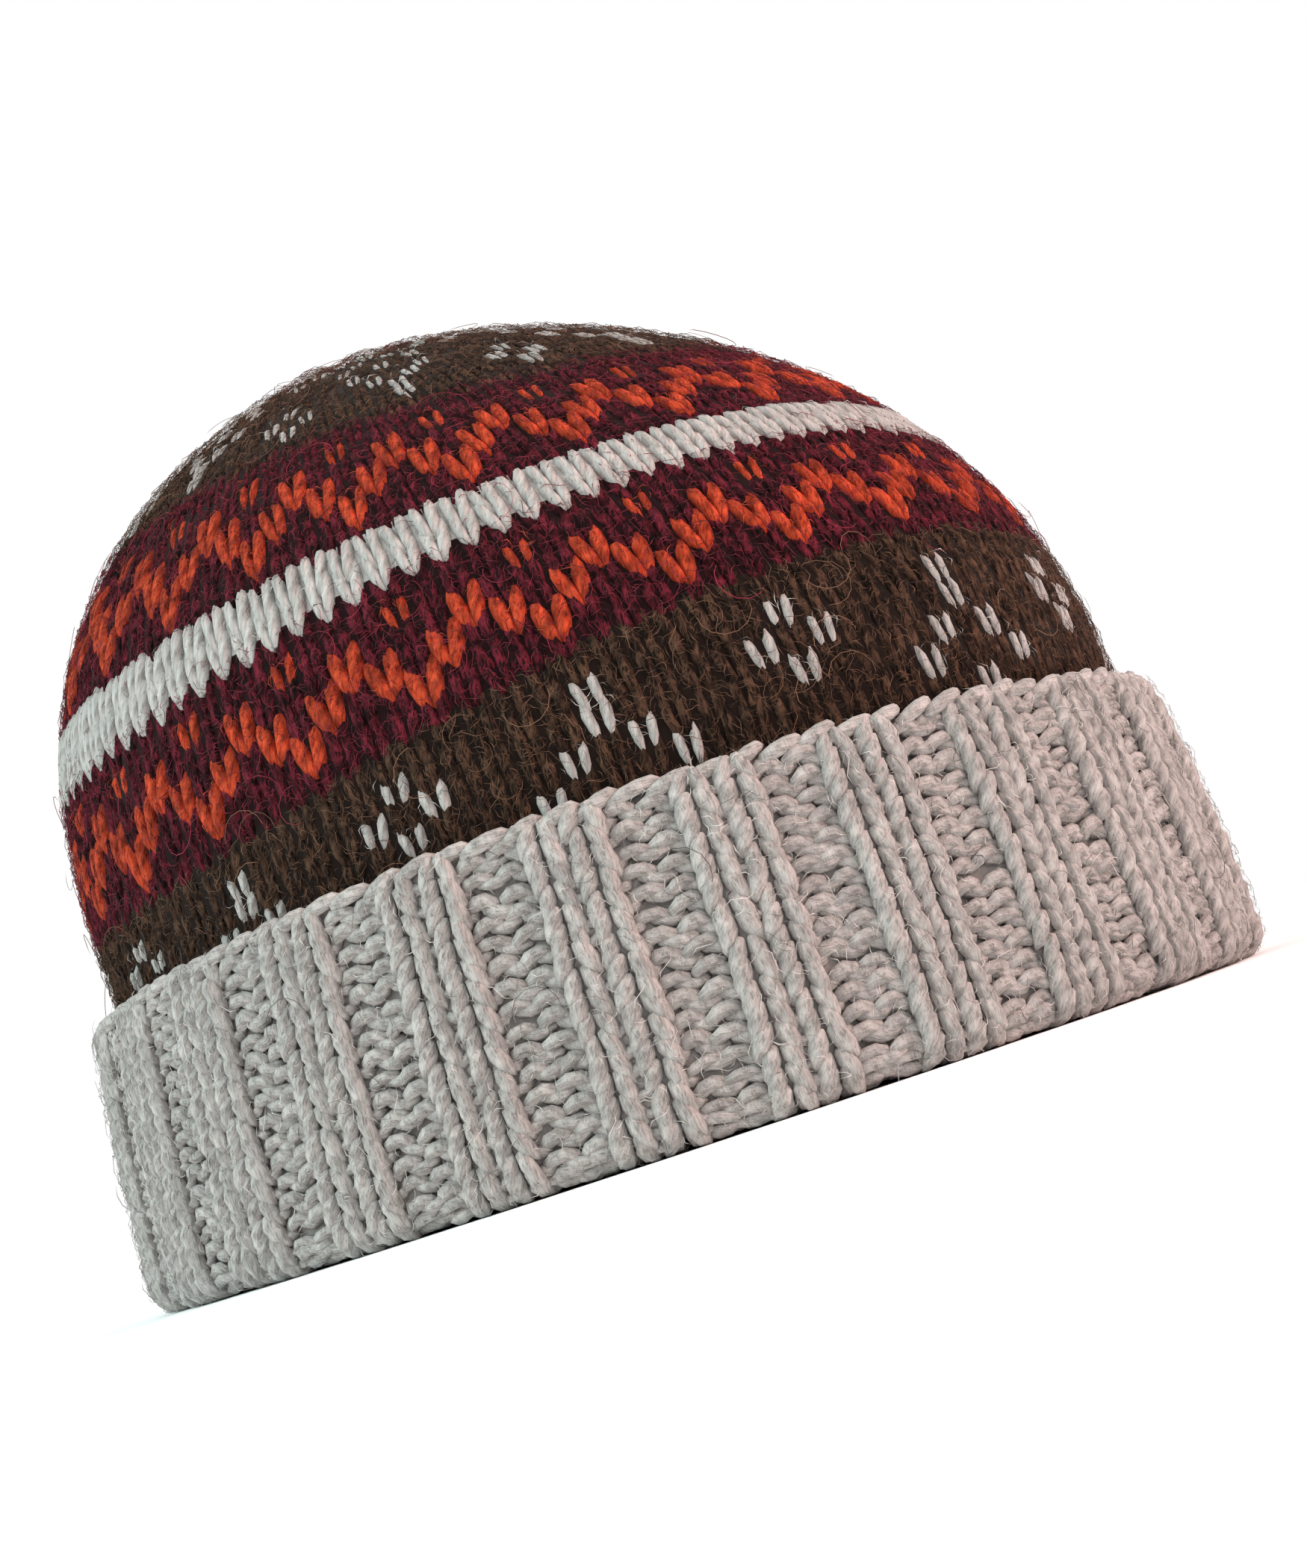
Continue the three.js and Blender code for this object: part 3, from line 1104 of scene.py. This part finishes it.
def finish_piece(piece: bpy.types.Object, slot: str, node: str) -> None:
    """Give a finished piece to the frame and report it.

    Args:
        piece: The piece, in place.
        slot: Not used.
        node: The solid that it stands for.
    """
    for label in ("up_way", "out_way", "loop_size", "fluff"):
        spent = piece.data.attributes.get(label)
        if spent is not None:
            piece.data.attributes.remove(spent)
    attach(piece, "root")
    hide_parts(node)
    piece.data.calc_loop_triangles()
    LOG.info("%s: %d triangles", piece.name, len(piece.data.loop_triangles))


class Workshop:
    """What every sub-assembly shares: the form, the chart, the trees and the finishes."""

    def __init__(self) -> None:
        """Build the shared things once."""
        self.form = HatForm()
        self.chart = PatternChart()
        self.crown = crown_path(self.form)
        self.cuff = cuff_path(self.form)
        self.stitches = stitch_tree()
        self.growth = HaloTree()
        self.materials = {wool: finish.material() for wool, finish in FINISHES.items()}
        self.ground_wool = attribute_wool("ground_wool", 0.95)
        self.fibre_wool = attribute_wool("fibre_wool", 0.8)
        self.rng = np.random.default_rng(27)
        self.tools: list[bpy.types.Object] = []
        self.fibres = {
            "Short": self.keep(Loops.hair("short_fibre", Loops.SHORT_FIBRE, thickness=0.105)),
            "Bent": self.keep(Loops.hair("bent_fibre", Loops.BENT_FIBRE, thickness=0.095)),
            "Long": self.keep(Loops.curl("long_fibre", reach=3.6, turn=4.2, steps=8, thickness=0.1)),
        }

    def keep(self, tool: bpy.types.Object) -> bpy.types.Object:
        """Remember a small shape that has to go before the end."""
        self.tools.append(tool)
        return tool

    def knit_piece(self, name: str, wool: Wool, stitches: StitchSet, loop: bpy.types.Object, node: str,
                   inward: bool = False, turn: float = 0.06, size: float = 0.05) -> None:
        """Turn a set of stitches into a finished piece.

        Args:
            name: The piece's name.
            wool: Its yarn.
            stitches: Its stitches.
            loop: The shape of one stitch.
            node: The solid that it stands for.
            inward: Whether the stitches face the inside of the hat.
            turn: How far stitches turn at random.
            size: How far they differ in size.
        """
        carrier = stitches.carrier(name, inward, self.rng)
        self.stitches.run(carrier, {
            "Loop": loop, "Uneven Turn": turn, "Uneven Size": size,
            "Seed": len(name) + 3 * len(stitches.up), "Wool": self.materials[wool]})
        finish_piece(carrier, FINISHES[wool].slot, node)

    def ground_piece(self, name: str, rings: list, faces: list, wools: list[Wool], slot: str,
                     node: str) -> None:
        """Make a finished wall in the yarns' own colours, which closes the fabric between its stitches.

        Args:
            name: The piece's name.
            rings: Places in millimetres, ring by ring.
            faces: Corner numbers of each face.
            wools: The yarn of each face.
            slot: A material slot's name, passed on to finish_piece.
            node: The solid that it stands for.
        """
        piece = painted_sheet(name, rings, faces, wools, lambda wool: FINISHES[wool].shade)
        piece.data.materials.append(self.ground_wool)
        finish_piece(piece, slot, node)

    def grow_halo(self, name: str, rings: list, faces: list, wool: Wool, node: str,
                  hairy: Sequence[float] | None = None, curls: float = 1.0,
                  tones: Range = (0.7, 1.7)) -> None:
        """Grow a yarn's loose fibres on a sheet.

        Args:
            name: The piece's name.
            rings: Places of the sheet's corners in millimetres, ring by ring.
            faces: Corner numbers of each face.
            wool: The yarn that the fibres belong to.
            node: The solid that they stand for.
            hairy: Share of the yarn's fibres that each face grows, or None for all of them.
            curls: Share of the bent and the long, curling fibres that this yarn has.
            tones: Least and greatest lightness of the curling fibres.
        """
        carrier = painted_sheet(name, rings, faces, [wool] * len(faces),
                                lambda own: FINISHES[own].fibre, hairy)
        values: dict[str, object] = {
            "Least Lean": HaloTree.LEAN[0], "Most Lean": HaloTree.LEAN[1],
            "Least Curl Tone": tones[0], "Most Curl Tone": tones[1],
            "Seed": 7 + len(carrier.name), "Wool": self.fibre_wool}
        for kind, count in HaloTree.PER_SQUARE_METRE.items():
            values[f"{kind} Fibre"] = self.fibres[kind]
            values[f"{kind} per Square Metre"] = count if kind == "Short" else count * curls
        self.growth.run(carrier, values)
        finish_piece(carrier, FINISHES[wool].slot, node)

    def clear(self) -> None:
        """Remove the small shapes that were repeated."""
        for tool in self.tools:
            mesh = tool.data
            bpy.data.objects.remove(tool)
            bpy.data.meshes.remove(mesh)


@dataclass(frozen=True)
class StitchKind:
    """How one kind of the crown's knit stitches is made."""

    wool: Wool
    leg: Leg
    lift: float             # over the usual depth of the outside
    spread: float = 1.0     # its width, as a share of its place's


@dataclass
class KnittedCrown:
    """The patterned dome: knit stitches outside, purl bumps inside and a ground between."""

    shop: Workshop
    rounds: int = 49
    closure: float = 0.6        # height of the drawn-together centre, in rounds
    first_shown: int = 10       # rounds below this are behind the cuff
    outside_depth: float = -1.75
    inside_depth: float = -2.9
    purl_size: tuple[float, float] = (0.96, 0.9)        # shares of a bump's width and thickness
    ground_depths: tuple[float, float] = (-1.15, -2.7)
    ground_from: float = 1.25   # round that the ground starts at
    halo_depth: float = -0.45
    halo_from: float = 11.1     # round that the loose fibres start at
    top_ring: float = 0.45      # the last ring of a sheet lies this many rounds over the last stitches
    stray: float = 0.4          # share of the base yarn's fibres that cross the motif's stitches
    crossing: float = 0.07      # share of the burgundy yarn's fibres that cross the stripe

    NODE = "knitted_crown"
    PLAY = Play(up=(-0.2, 0.2), depth=(-0.15, 0.15), width=(0.94, 1.06), tall=(0.94, 1.06),
                tilt=(-0.09, 0.09))
    WOOLS = (Wool.BURGUNDY, Wool.BROWN, Wool.ORANGE, Wool.PALE)
    KINDS = {
        "burgundy": StitchKind(Wool.BURGUNDY, Leg.MATTED, -0.3),
        "brown": StitchKind(Wool.BROWN, Leg.MATTED, -0.3),
        "orange": StitchKind(Wool.ORANGE, Leg.LONG, -0.2, spread=1.2),
        "pale": StitchKind(Wool.PALE, Leg.LONG, 0.05),
        "flake": StitchKind(Wool.PALE, Leg.SLIM, -0.15),
        "dot": StitchKind(Wool.ORANGE, Leg.SLIM, -0.2),
    }
    LONE = {Wool.PALE: "flake", Wool.ORANGE: "dot"}     # kinds that stand alone in the base yarn

    def __post_init__(self) -> None:
        """Work out the height of a round."""
        self.pitch = self.shop.crown.length / (self.rounds + self.closure)

    def build(self) -> None:
        """Make every piece of the crown."""
        self.outside()
        self.inside()
        self.ground()
        self.halo()

    def columns(self, row: int) -> Iterable[tuple[int, float, float]]:
        """List the stitches of a round.

        Args:
            row: The round, from the fold.

        Yields:
            The stitch's column in its wedge, its angle and the angle that it is wide.
        """
        count = self.shop.chart.stitches(row)
        step = 2 * math.pi / (self.shop.chart.WEDGES * count)
        for wedge in range(self.shop.chart.WEDGES):
            for column in range(count):
                yield column, self.shop.form.pattern_angle + (wedge * count + column) * step, step

    def outside(self) -> None:
        """Knit the outside, one piece for each kind of stitch."""
        loops = {leg: self.shop.keep(Loops.knit(f"{leg.name.lower()}_legs", leg)) for leg in Leg}
        sets = {name: StitchSet(self.shop.crown) for name in self.KINDS}
        wide, high = Loops.STITCH
        play = self.PLAY
        rng = np.random.default_rng(5)
        for row in range(self.first_shown, self.rounds):
            up = (row + 0.5) * self.pitch
            lone = self.LONE if self.shop.chart.sunken(row) else {}
            for column, angle, step in self.columns(row):
                wool = self.shop.chart.wool(row, column)
                name = lone.get(wool, wool.value)
                kind = self.KINDS[name]
                width = step * self.width(up, angle) * kind.spread
                tall = self.rise(up, angle) / high
                depth = self.outside_depth + kind.lift + rng.uniform(*play.depth)
                plump = min(1.0, 0.55 + 0.45 * width / wide)    # narrow stitches near the top are thinner
                sets[name].add(
                    up + rng.uniform(*play.up), angle, depth,
                    (width / wide * rng.uniform(*play.width), tall * rng.uniform(*play.tall), plump),
                    rng.uniform(*play.tilt))
        for name, kind in self.KINDS.items():
            self.shop.knit_piece(f"crown_{name}_stitches", kind.wool, sets[name], loops[kind.leg], self.NODE)

    def width(self, up: float, angle: float) -> float:
        """Length of one radian around the crown at a place."""
        return float(self.shop.crown.width_of_turn(np.array([up]), np.array([angle]), np.array([0.0]))[0])

    def rise(self, up: float, angle: float) -> float:
        """Measure the height of a round of the crown.

        Args:
            up: Length of its middle from the fold.
            angle: Angle about the hat's middle.

        Returns:
            The height.
        """
        half = np.array([-0.5, 0.5]) * self.pitch
        ends = self.shop.crown.place(up + half, np.full(2, angle), np.zeros(2))
        return float(np.linalg.norm(ends[1] - ends[0]))

    def inside(self) -> None:
        """Knit the purl side, which shows when the hat is turned over."""
        loop = self.shop.keep(Loops.inside_purl("purl_bump"))
        sets = {wool: StitchSet(self.shop.crown) for wool in self.WOOLS}
        wide, high = Loops.STITCH
        broad, thick = self.purl_size
        for row in range(1, self.rounds - 2):
            up = (row + 0.5) * self.pitch
            for column, angle, step in self.columns(row):
                wool = self.shop.chart.wool(row, column)
                width = step * self.width(up, angle) * broad
                sets[wool].add(up, angle, self.inside_depth, (width / wide, self.pitch / high, thick))
        for wool, stitches in sets.items():
            name = f"crown_{wool.value}_purls"
            self.shop.knit_piece(name, wool, stitches, loop, self.NODE, inward=True)

    def sheet(self, depth: float, first: float) -> tuple[list, list, list, list]:
        """Lay a sheet along the rounds and on to a point at the top, a face for each lower stitch.

        Args:
            depth: Height over the surface.
            first: Where it starts, in rounds from the fold.

        Returns:
            Rings of corners, faces, the yarn of each face and the yarn that its band is mostly in.
        """
        path, chart = self.shop.crown, self.shop.chart
        last = self.rounds + self.top_ring
        columns = chart.WEDGES * chart.stitches(0)
        angle = self.shop.form.pattern_angle + (np.arange(columns) - 0.5) * 2 * math.pi / columns
        ups = list(np.linspace(first, last, int(last - first) + 1) * self.pitch)
        rings = [path.place(np.full(columns, up), angle, np.full(columns, depth)) for up in ups]
        ups.append(path.length)
        rings.append(path.place(np.array(ups[-1:]), angle[:1], np.array([depth])))
        faces, wools, bases = [], [], []
        for i in range(len(ups) - 1):
            row = int((ups[i] + ups[i + 1]) / 2 / self.pitch)
            count = chart.stitches(row)
            tip = i == len(ups) - 2
            for j in range(columns):
                low, k = i * columns, (j + 1) % columns
                high = low + columns
                faces.append([low + j, low + k, high] if tip else [low + j, low + k, high + k, high + j])
                wools.append(chart.wool(row, round(j * count * chart.WEDGES / columns)))
                bases.append(chart.base(row))
        return rings, faces, wools, bases

    def ground(self) -> None:
        """Close the fabric behind the stitches with a thin wall in the same pattern."""
        outer, faces, _, wools = self.sheet(self.ground_depths[0], self.ground_from)
        inner, inside, *_ = self.sheet(self.ground_depths[1], self.ground_from)
        shift = sum(len(ring) for ring in outer)
        columns = len(outer[0])
        faces = faces + [[shift + i for i in reversed(face)] for face in inside]
        faces += [[(j + 1) % columns, j, shift + j, shift + (j + 1) % columns] for j in range(columns)]
        wools = wools + wools + [Wool.BURGUNDY] * columns
        self.shop.ground_piece("crown_ground", outer + inner, faces, wools, "burgundy_wool", self.NODE)

    def share(self, wool: Wool, own: Wool, base: Wool) -> float:
        """Tell how many of a yarn's fibres a stitch carries.

        Args:
            wool: The fibres' yarn.
            own: The stitch's yarn.
            base: The yarn that its band is mostly in.

        Returns:
            Their share, from 0 to 1.
        """
        if own is wool:
            return 1.0
        if base is wool:
            return self.stray
        return self.crossing if wool is Wool.BURGUNDY and base is Wool.PALE else 0.0

    def halo(self) -> None:
        """Grow the loose fibres, one piece for each yarn."""
        rings, faces, wools, bases = self.sheet(self.halo_depth, self.halo_from)
        for wool in self.WOOLS:
            hairy = [self.share(wool, own, base) for own, base in zip(wools, bases)]
            curls = 1.0 if wool in (Wool.BURGUNDY, Wool.BROWN) else 0.0
            self.shop.grow_halo(f"crown_{wool.value}_halo", rings, faces, wool, self.NODE, hairy, curls)


def painted_sheet(name: str, rings: list, faces: list, wools: list[Wool], shade: Callable[[Wool], str],
                  hairy: Sequence[float] | None = None) -> bpy.types.Object:
    """Make a sheet whose faces carry a colour and how hairy they are.

    Args:
        name: The object's name.
        rings: Places in millimetres, ring by ring.
        faces: Corner numbers of each face.
        wools: The yarn of each face.
        shade: Gives a yarn's screen colour.
        hairy: Share of its yarn's fibres that each face grows, or None for all of them.

    Returns:
        The sheet.
    """
    mesh = bpy.data.meshes.new(name)
    mesh.from_pydata([tuple(corner) for corner in np.concatenate(rings) * MM], [], faces)
    tints = np.array([linear(shade(wool)) for wool in wools])
    corners = [len(face) for face in faces]
    store(mesh, "wool_colour", "FLOAT_COLOR", "CORNER", np.repeat(tints, corners, axis=0))
    store(mesh, "tone", "FLOAT", "POINT", np.ones(len(mesh.vertices)))
    shares = hairy if hairy is not None else [1.0] * len(faces)
    fluff = [FINISHES[wool].fluff * share for wool, share in zip(wools, shares)]
    store(mesh, "fluff", "FLOAT", "FACE", fluff)
    mesh.shade_smooth()
    return add_to_scene(name, mesh)


def attribute_wool(name: str, roughness: float) -> bpy.types.Material:
    """A matt woollen finish whose colour is painted on the piece.

    Args:
        name: The material's name.
        roughness: How matt it is.

    Returns:
        The material.
    """
    made = bpy.data.materials.new(name)
    made.use_nodes = True
    made.node_tree.nodes.clear()
    board = NodeBoard(made.node_tree)
    tint = board.add("ShaderNodeAttribute", attribute_name="wool_colour")
    tone = board.add("ShaderNodeAttribute", attribute_name="tone")
    noise = board.add("ShaderNodeTexNoise", {
        "Vector": board.add("ShaderNodeTexCoord").outputs["Object"], "Scale": 900.0, "Detail": 2.0})
    value = board.add("ShaderNodeMapRange", {0: noise.outputs[0], 3: 0.6, 4: 1.4})
    value = board.math("MULTIPLY", value.outputs[0], tone.outputs["Fac"])
    colour = board.add("ShaderNodeHueSaturation", {"Color": tint.outputs["Color"], "Value": value})
    surface = board.add("ShaderNodeBsdfPrincipled", {
        "Base Color": colour.outputs[0], "Roughness": roughness, "Specular IOR Level": 0.12,
        "Sheen Weight": 0.05, "Sheen Roughness": 0.5})
    board.add("ShaderNodeOutputMaterial", {"Surface": surface.outputs[0]})
    return made


@dataclass
class RibbedCuff:
    """The turned-up cuff: two-by-two rib, the fold under it and the cast-on edge on top."""

    shop: Workshop
    columns_at: tuple[float, float] = (0.1475, -0.1475)     # knit columns' places in a rib
    purls_at: tuple[float, float] = (0.118, -0.118)
    knit_depth: float = -1.95
    purl_depth: float = -1.2
    rung_depth: float = -1.25
    edge_depth: float = -1.15
    edge_inset: float = 0.6     # how far under the path's end the cast-on links lie
    edge_room: float = 1.0      # what the rib leaves free for them
    rung_drop: float = 0.45     # rungs lie this share of a round lower
    relief: float = 1.1
    squareness: float = 1.8     # how flat the ribs are on top
    tuck: float = 0.9           # how far the loops under the fold are drawn in, so that it rests flat
    seat: float = 0.35          # the lining stands this far off the crown
    wall_depth: float = 2.1     # under the ribs' surface
    wall_ends: tuple[float, float] = (0.2, 1.2)     # from the path's start, and from its end
    wall_rings: int = 22
    halo_sink: float = -0.05    # under the ribs' surface, so just over it
    halo_from: float = 12.0     # length along the fabric where the loose fibres start
    halo_rings: int = 15

    NODE = "ribbed_cuff"
    ROPE_PLAY = Play(up=(-0.3, 0.3), depth=(-0.22, 0.22), width=(0.9, 1.08), tall=(0.95, 1.1),
                     tilt=(-0.1, 0.1))
    ARC_PLAY = Play(up=(-0.35, 0.35), depth=(-0.25, 0.25), width=(0.92, 1.08), tall=(0.85, 1.15),
                    out=(0.9, 1.1), tilt=(-0.24, 0.14))
    RUNG_PLAY = Play(up=(-0.3, 0.3), tilt=(-0.4, 0.4))
    LINK_PLAY = Play(up=(-0.3, 0.3), depth=(-0.2, 0.2), width=(0.9, 1.1), out=(0.9, 1.15),
                     tilt=(-0.12, 0.12))
    # Each wave that a column wanders by: share of a rib, and length along the fabric for a radian
    WANDER = ((0.006, 9.0), (0.004, 4.0))
    WANDERING = 5       # in each rib two knit columns, two purl ones, and the rungs as one
    RUNGS_AT = ((0.5, 0.2), (-0.235, -0.6))     # place in a rib, and share of the relief
    # The lining's rings from the top down: distance from the seat, and height
    LINING = ((1.9, 48.4), (1.0, 46.0), (0.0, 26.0), (0.0, 5.4), (-2.4, 4.6))

    def build(self) -> None:
        """Make every piece of the cuff."""
        self.rib()
        self.edge()
        self.ground()
        self.halo()

    def rib(self) -> None:
        """Knit the ropes of the knit columns and the arcs of the purl ones."""
        path = self.shop.cuff
        ribs = self.shop.form.cuff_ribs
        knit, purl, rung = (StitchSet(path) for _ in range(3))
        rounds = int((path.length - self.edge_room) / Loops.RIB_ROUND)
        pitch = (path.length - self.edge_room) / rounds
        period = 2 * math.pi / ribs
        rng = np.random.default_rng(11)
        starts = rng.uniform(0, 2 * math.pi, (ribs, self.WANDERING, len(self.WANDER)))
        tall = pitch / Loops.RIB_ROUND
        for row in range(rounds):
            up = (row + 0.5) * pitch
            weight = float(path.relief(np.array([up]))[0])
            flat = self.tuck * (1 - weight) ** 2
            for rib in range(ribs):
                middle = self.shop.form.pattern_angle + rib * period
                drift = [
                    sum(share * math.sin(up / length + phase)
                        for (share, length), phase in zip(self.WANDER, phases))
                    for phases in starts[rib]]
                for share, sway in zip(self.columns_at, drift):
                    play = self.ROPE_PLAY
                    angle = middle + (0.5 + share + sway) * period
                    depth = weight * self.relief + self.knit_depth - 0.5 * flat + rng.uniform(*play.depth)
                    size = rng.uniform(*play.width)
                    knit.add(up + rng.uniform(*play.up), angle, depth,
                             (size, tall * rng.uniform(*play.tall), size), rng.uniform(*play.tilt))
                for share, sway in zip(self.purls_at, drift[2:]):
                    play = self.ARC_PLAY
                    angle = middle + (share + sway) * period
                    depth = -weight * self.relief + self.purl_depth - flat + rng.uniform(*play.depth)
                    purl.add(up + rng.uniform(*play.up), angle, depth,
                             (rng.uniform(*play.width), tall * rng.uniform(*play.tall),
                              rng.uniform(*play.out)), rng.uniform(*play.tilt))
                for share, rise in self.RUNGS_AT:
                    play = self.RUNG_PLAY
                    angle = middle + (share + drift[4]) * period
                    rung.add(up - self.rung_drop * pitch + rng.uniform(*play.up), angle,
                             weight * self.relief * rise + self.rung_depth - 0.5 * flat,
                             (1.0, tall, 1.0), rng.uniform(*play.tilt))
        ropes = self.shop.keep(Loops.rib_knit("rib_rope"))
        arcs = self.shop.keep(Loops.rib_purl("rib_arc"))
        bars = self.shop.keep(Loops.rib_rung("rib_rung"))
        self.shop.knit_piece("cuff_knit_columns", Wool.CUFF, knit, ropes, self.NODE)
        self.shop.knit_piece("cuff_purl_columns", Wool.CUFF, purl, arcs, self.NODE, turn=0.1, size=0.1)
        self.shop.knit_piece("cuff_ladders", Wool.CUFF, rung, bars, self.NODE, turn=0.1, size=0.15)

    def edge(self) -> None:
        """Lay the slanting links of the cast-on edge along the top, one for each stitch of the rib."""
        path = self.shop.cuff
        links = StitchSet(path)
        play = self.LINK_PLAY
        count = 4 * self.shop.form.cuff_ribs
        rng = np.random.default_rng(3)
        for i in range(count):
            links.add(path.length - self.edge_inset + rng.uniform(*play.up), 2 * math.pi * i / count,
                      self.edge_depth + rng.uniform(*play.depth),
                      (rng.uniform(*play.width), 1.0, rng.uniform(*play.out)), rng.uniform(*play.tilt))
        loop = self.shop.keep(Loops.edge_link("edge_link"))
        self.shop.knit_piece("cuff_cast_on_edge", Wool.CUFF, links, loop, self.NODE)

    def around(self) -> Array:
        """Angles of a sheet's columns, eight of them in a rib."""
        columns = self.shop.form.cuff_ribs * 8
        return self.shop.form.pattern_angle + 2 * math.pi * np.arange(columns) / columns

    def sheet(self, sink: float, first: float, last: float, count: int) -> tuple[list, list]:
        """Lay a sheet that follows the ribs.

        Args:
            sink: How far it lies under the ribs' surface.
            first: Where it starts along the fabric.
            last: Where it ends.
            count: How many rings it has.

        Returns:
            Rings of corners and faces.
        """
        form, path = self.shop.form, self.shop.cuff
        angle = self.around()
        columns = len(angle)
        wave = np.tanh(-self.squareness * np.cos(form.cuff_ribs * (angle - form.pattern_angle)))
        wave = wave / math.tanh(self.squareness)
        rings = []
        for up in np.linspace(first, last, count):
            weight = float(path.relief(np.array([up]))[0])
            rings.append(path.place(np.full(columns, up), angle, weight * self.relief * wave - sink))
        faces = []
        for low in range(0, (count - 1) * columns, columns):
            faces += self.strip(low, low + columns, columns)
        return rings, faces

    @staticmethod
    def strip(low: int, high: int, columns: int) -> list[list[int]]:
        """Join two closed rings by a strip of faces.

        Args:
            low: Number of the lower ring's first corner.
            high: Number of the upper ring's first corner.
            columns: How many corners a ring has.

        Returns:
            Corner numbers of each face.
        """
        return [[low + j, low + (j + 1) % columns, high + (j + 1) % columns, high + j]
                for j in range(columns)]

    def ground(self) -> None:
        """Close the cuff's fabric behind its stitches, and line it towards the crown."""
        form, path = self.shop.form, self.shop.cuff
        first, short = self.wall_ends
        rings, faces = self.sheet(self.wall_depth, first, path.length - short, self.wall_rings)
        angle = self.around()
        columns = len(angle)
        seat = form.rim_radius + self.seat
        for off, height in self.LINING:
            radius = seat + off
            ring = np.stack([radius * np.cos(angle), radius * np.sin(angle),
                             np.full(columns, height)], axis=1)
            rings.append(form.fit_to_head(form.turn_up_cuff(ring)))
        for i in range(self.wall_rings - 1, len(rings)):
            faces += self.strip(i * columns, (i + 1) % len(rings) * columns, columns)
        self.shop.ground_piece("cuff_ground", rings, faces, [Wool.CUFF] * len(faces), "cuff_wool", self.NODE)

    def halo(self) -> None:
        """Grow the cuff's loose fibres."""
        rings, faces = self.sheet(self.halo_sink, self.halo_from, self.shop.cuff.length, self.halo_rings)
        self.shop.grow_halo("cuff_halo", rings, faces, Wool.CUFF, self.NODE, curls=0.9, tones=(0.08, 0.45))


@dataclass
class PhotoStage:
    """A pale floor that reaches the horizon, soft lights and the camera."""

    bearing: float = math.radians(-60)
    distance: float = 430.0
    height: float = 7.0
    pitch: float = 0.1335
    yaw: float = 0.0265
    roll: float = 0.3208
    focal_px: float = 3097.0
    frame_px: tuple[int, int] = (1750, 2100)

    FLOOR_SIDES, FLOOR_REACH = 96, 9.0      # metres
    LIT_PLACE = (0.0, 0.0, 0.08)            # what the lights look at, in metres

    def build(self) -> None:
        """Set up everything that isn't the hat."""
        self.floor()
        self.lights()
        self.camera()

    def floor(self) -> None:
        """Lay a plain round floor, wide enough to reach the horizon."""
        sides, reach = self.FLOOR_SIDES, self.FLOOR_REACH
        angle = 2 * math.pi * np.arange(sides) / sides
        corners = [(float(reach * math.cos(a)), float(reach * math.sin(a)), 0.0) for a in angle]
        mesh = bpy.data.meshes.new("studio_floor")
        mesh.from_pydata(corners, [], [tuple(range(sides))])
        made = bpy.data.materials.new("studio_white")
        made.use_nodes = True
        surface = made.node_tree.nodes["Principled BSDF"]
        surface.inputs["Base Color"].default_value = linear("#ffffff")
        surface.inputs["Roughness"].default_value = 0.95
        surface.inputs["Specular IOR Level"].default_value = 0.1
        mesh.materials.append(made)
        add_to_scene("studio_floor", mesh)

    def view_axes(self) -> tuple[Array, Array, Array]:
        """Find the camera's right, up and back directions.

        Returns:
            Three unit vectors.
        """
        back = np.array([math.sin(self.bearing), -math.cos(self.bearing), 0.0])
        level = np.cross(-back, (0.0, 0.0, 1.0))
        ahead = -back * math.cos(self.yaw) + level * math.sin(self.yaw)
        right = level * math.cos(self.yaw) + back * math.sin(self.yaw)
        tilted = ahead * math.cos(self.pitch) + np.array([0, 0, 1.0]) * math.sin(self.pitch)
        up = np.array([0, 0, 1.0]) * math.cos(self.pitch) - ahead * math.sin(self.pitch)
        c, s = math.cos(self.roll), math.sin(self.roll)
        return c * right - s * up, s * right + c * up, -tilted

    def camera(self) -> None:
        """Set the camera low in front of the hat's right side, as close as the photograph's."""
        right, up, behind = self.view_axes()
        back = np.array([math.sin(self.bearing), -math.cos(self.bearing), 0.0])
        place = (back * self.distance + np.array([0, 0, self.height])) * MM
        data = bpy.data.cameras.new("camera")
        data.sensor_fit = "HORIZONTAL"
        data.sensor_width = 36.0
        data.lens = self.focal_px * data.sensor_width / self.frame_px[0]
        data.clip_start = 0.01
        data.clip_end = 20.0
        made = add_to_scene("camera", data)
        rows = np.stack([right, up, behind, place], axis=1)
        made.matrix_world = Matrix([*rows.tolist(), (0, 0, 0, 1)])
        bpy.context.scene.camera = made

    def lights(self) -> None:
        """Light the hat softly from the upper left, with a warmer fill from the right."""
        world = bpy.data.worlds.new("studio")
        world.use_nodes = True
        world.node_tree.nodes["Background"].inputs["Color"].default_value = (1.0, 1.0, 1.0, 1.0)
        world.node_tree.nodes["Background"].inputs["Strength"].default_value = 1.0
        bpy.context.scene.world = world
        bpy.context.scene.view_settings.view_transform = "Standard"
        self.softbox("cool_left_light", (-0.93, 0.62, 0.75), 0.8, 12.0, "#bfe6e2")
        self.softbox("warm_right_light", (0.07, -1.12, 0.6), 0.8, 12.0, "#ffccc0")

    def softbox(self, name: str, place: tuple[float, float, float], size: float, power: float,
                colour: str) -> None:
        """Hang a square soft light that looks at the hat.

        Args:
            name: The light's name.
            place: Where it hangs, in metres.
            size: Its side, in metres.
            power: Its strength in watts.
            colour: Its screen colour.
        """
        data = bpy.data.lights.new(name, "AREA")
        data.size = size
        data.energy = power
        data.color = linear(colour)[:3]
        made = add_to_scene(name, data)
        made.location = place
        made.rotation_euler = (Vector(self.LIT_PLACE) - Vector(place)).to_track_quat("-Z", "Y").to_euler()


def main() -> None:
    """Build the hat piece by piece, then its stage."""
    shop = Workshop()
    KnittedCrown(shop).build()
    RibbedCuff(shop).build()
    shop.clear()
    PhotoStage().build()


if __name__ == "__main__":
    main()
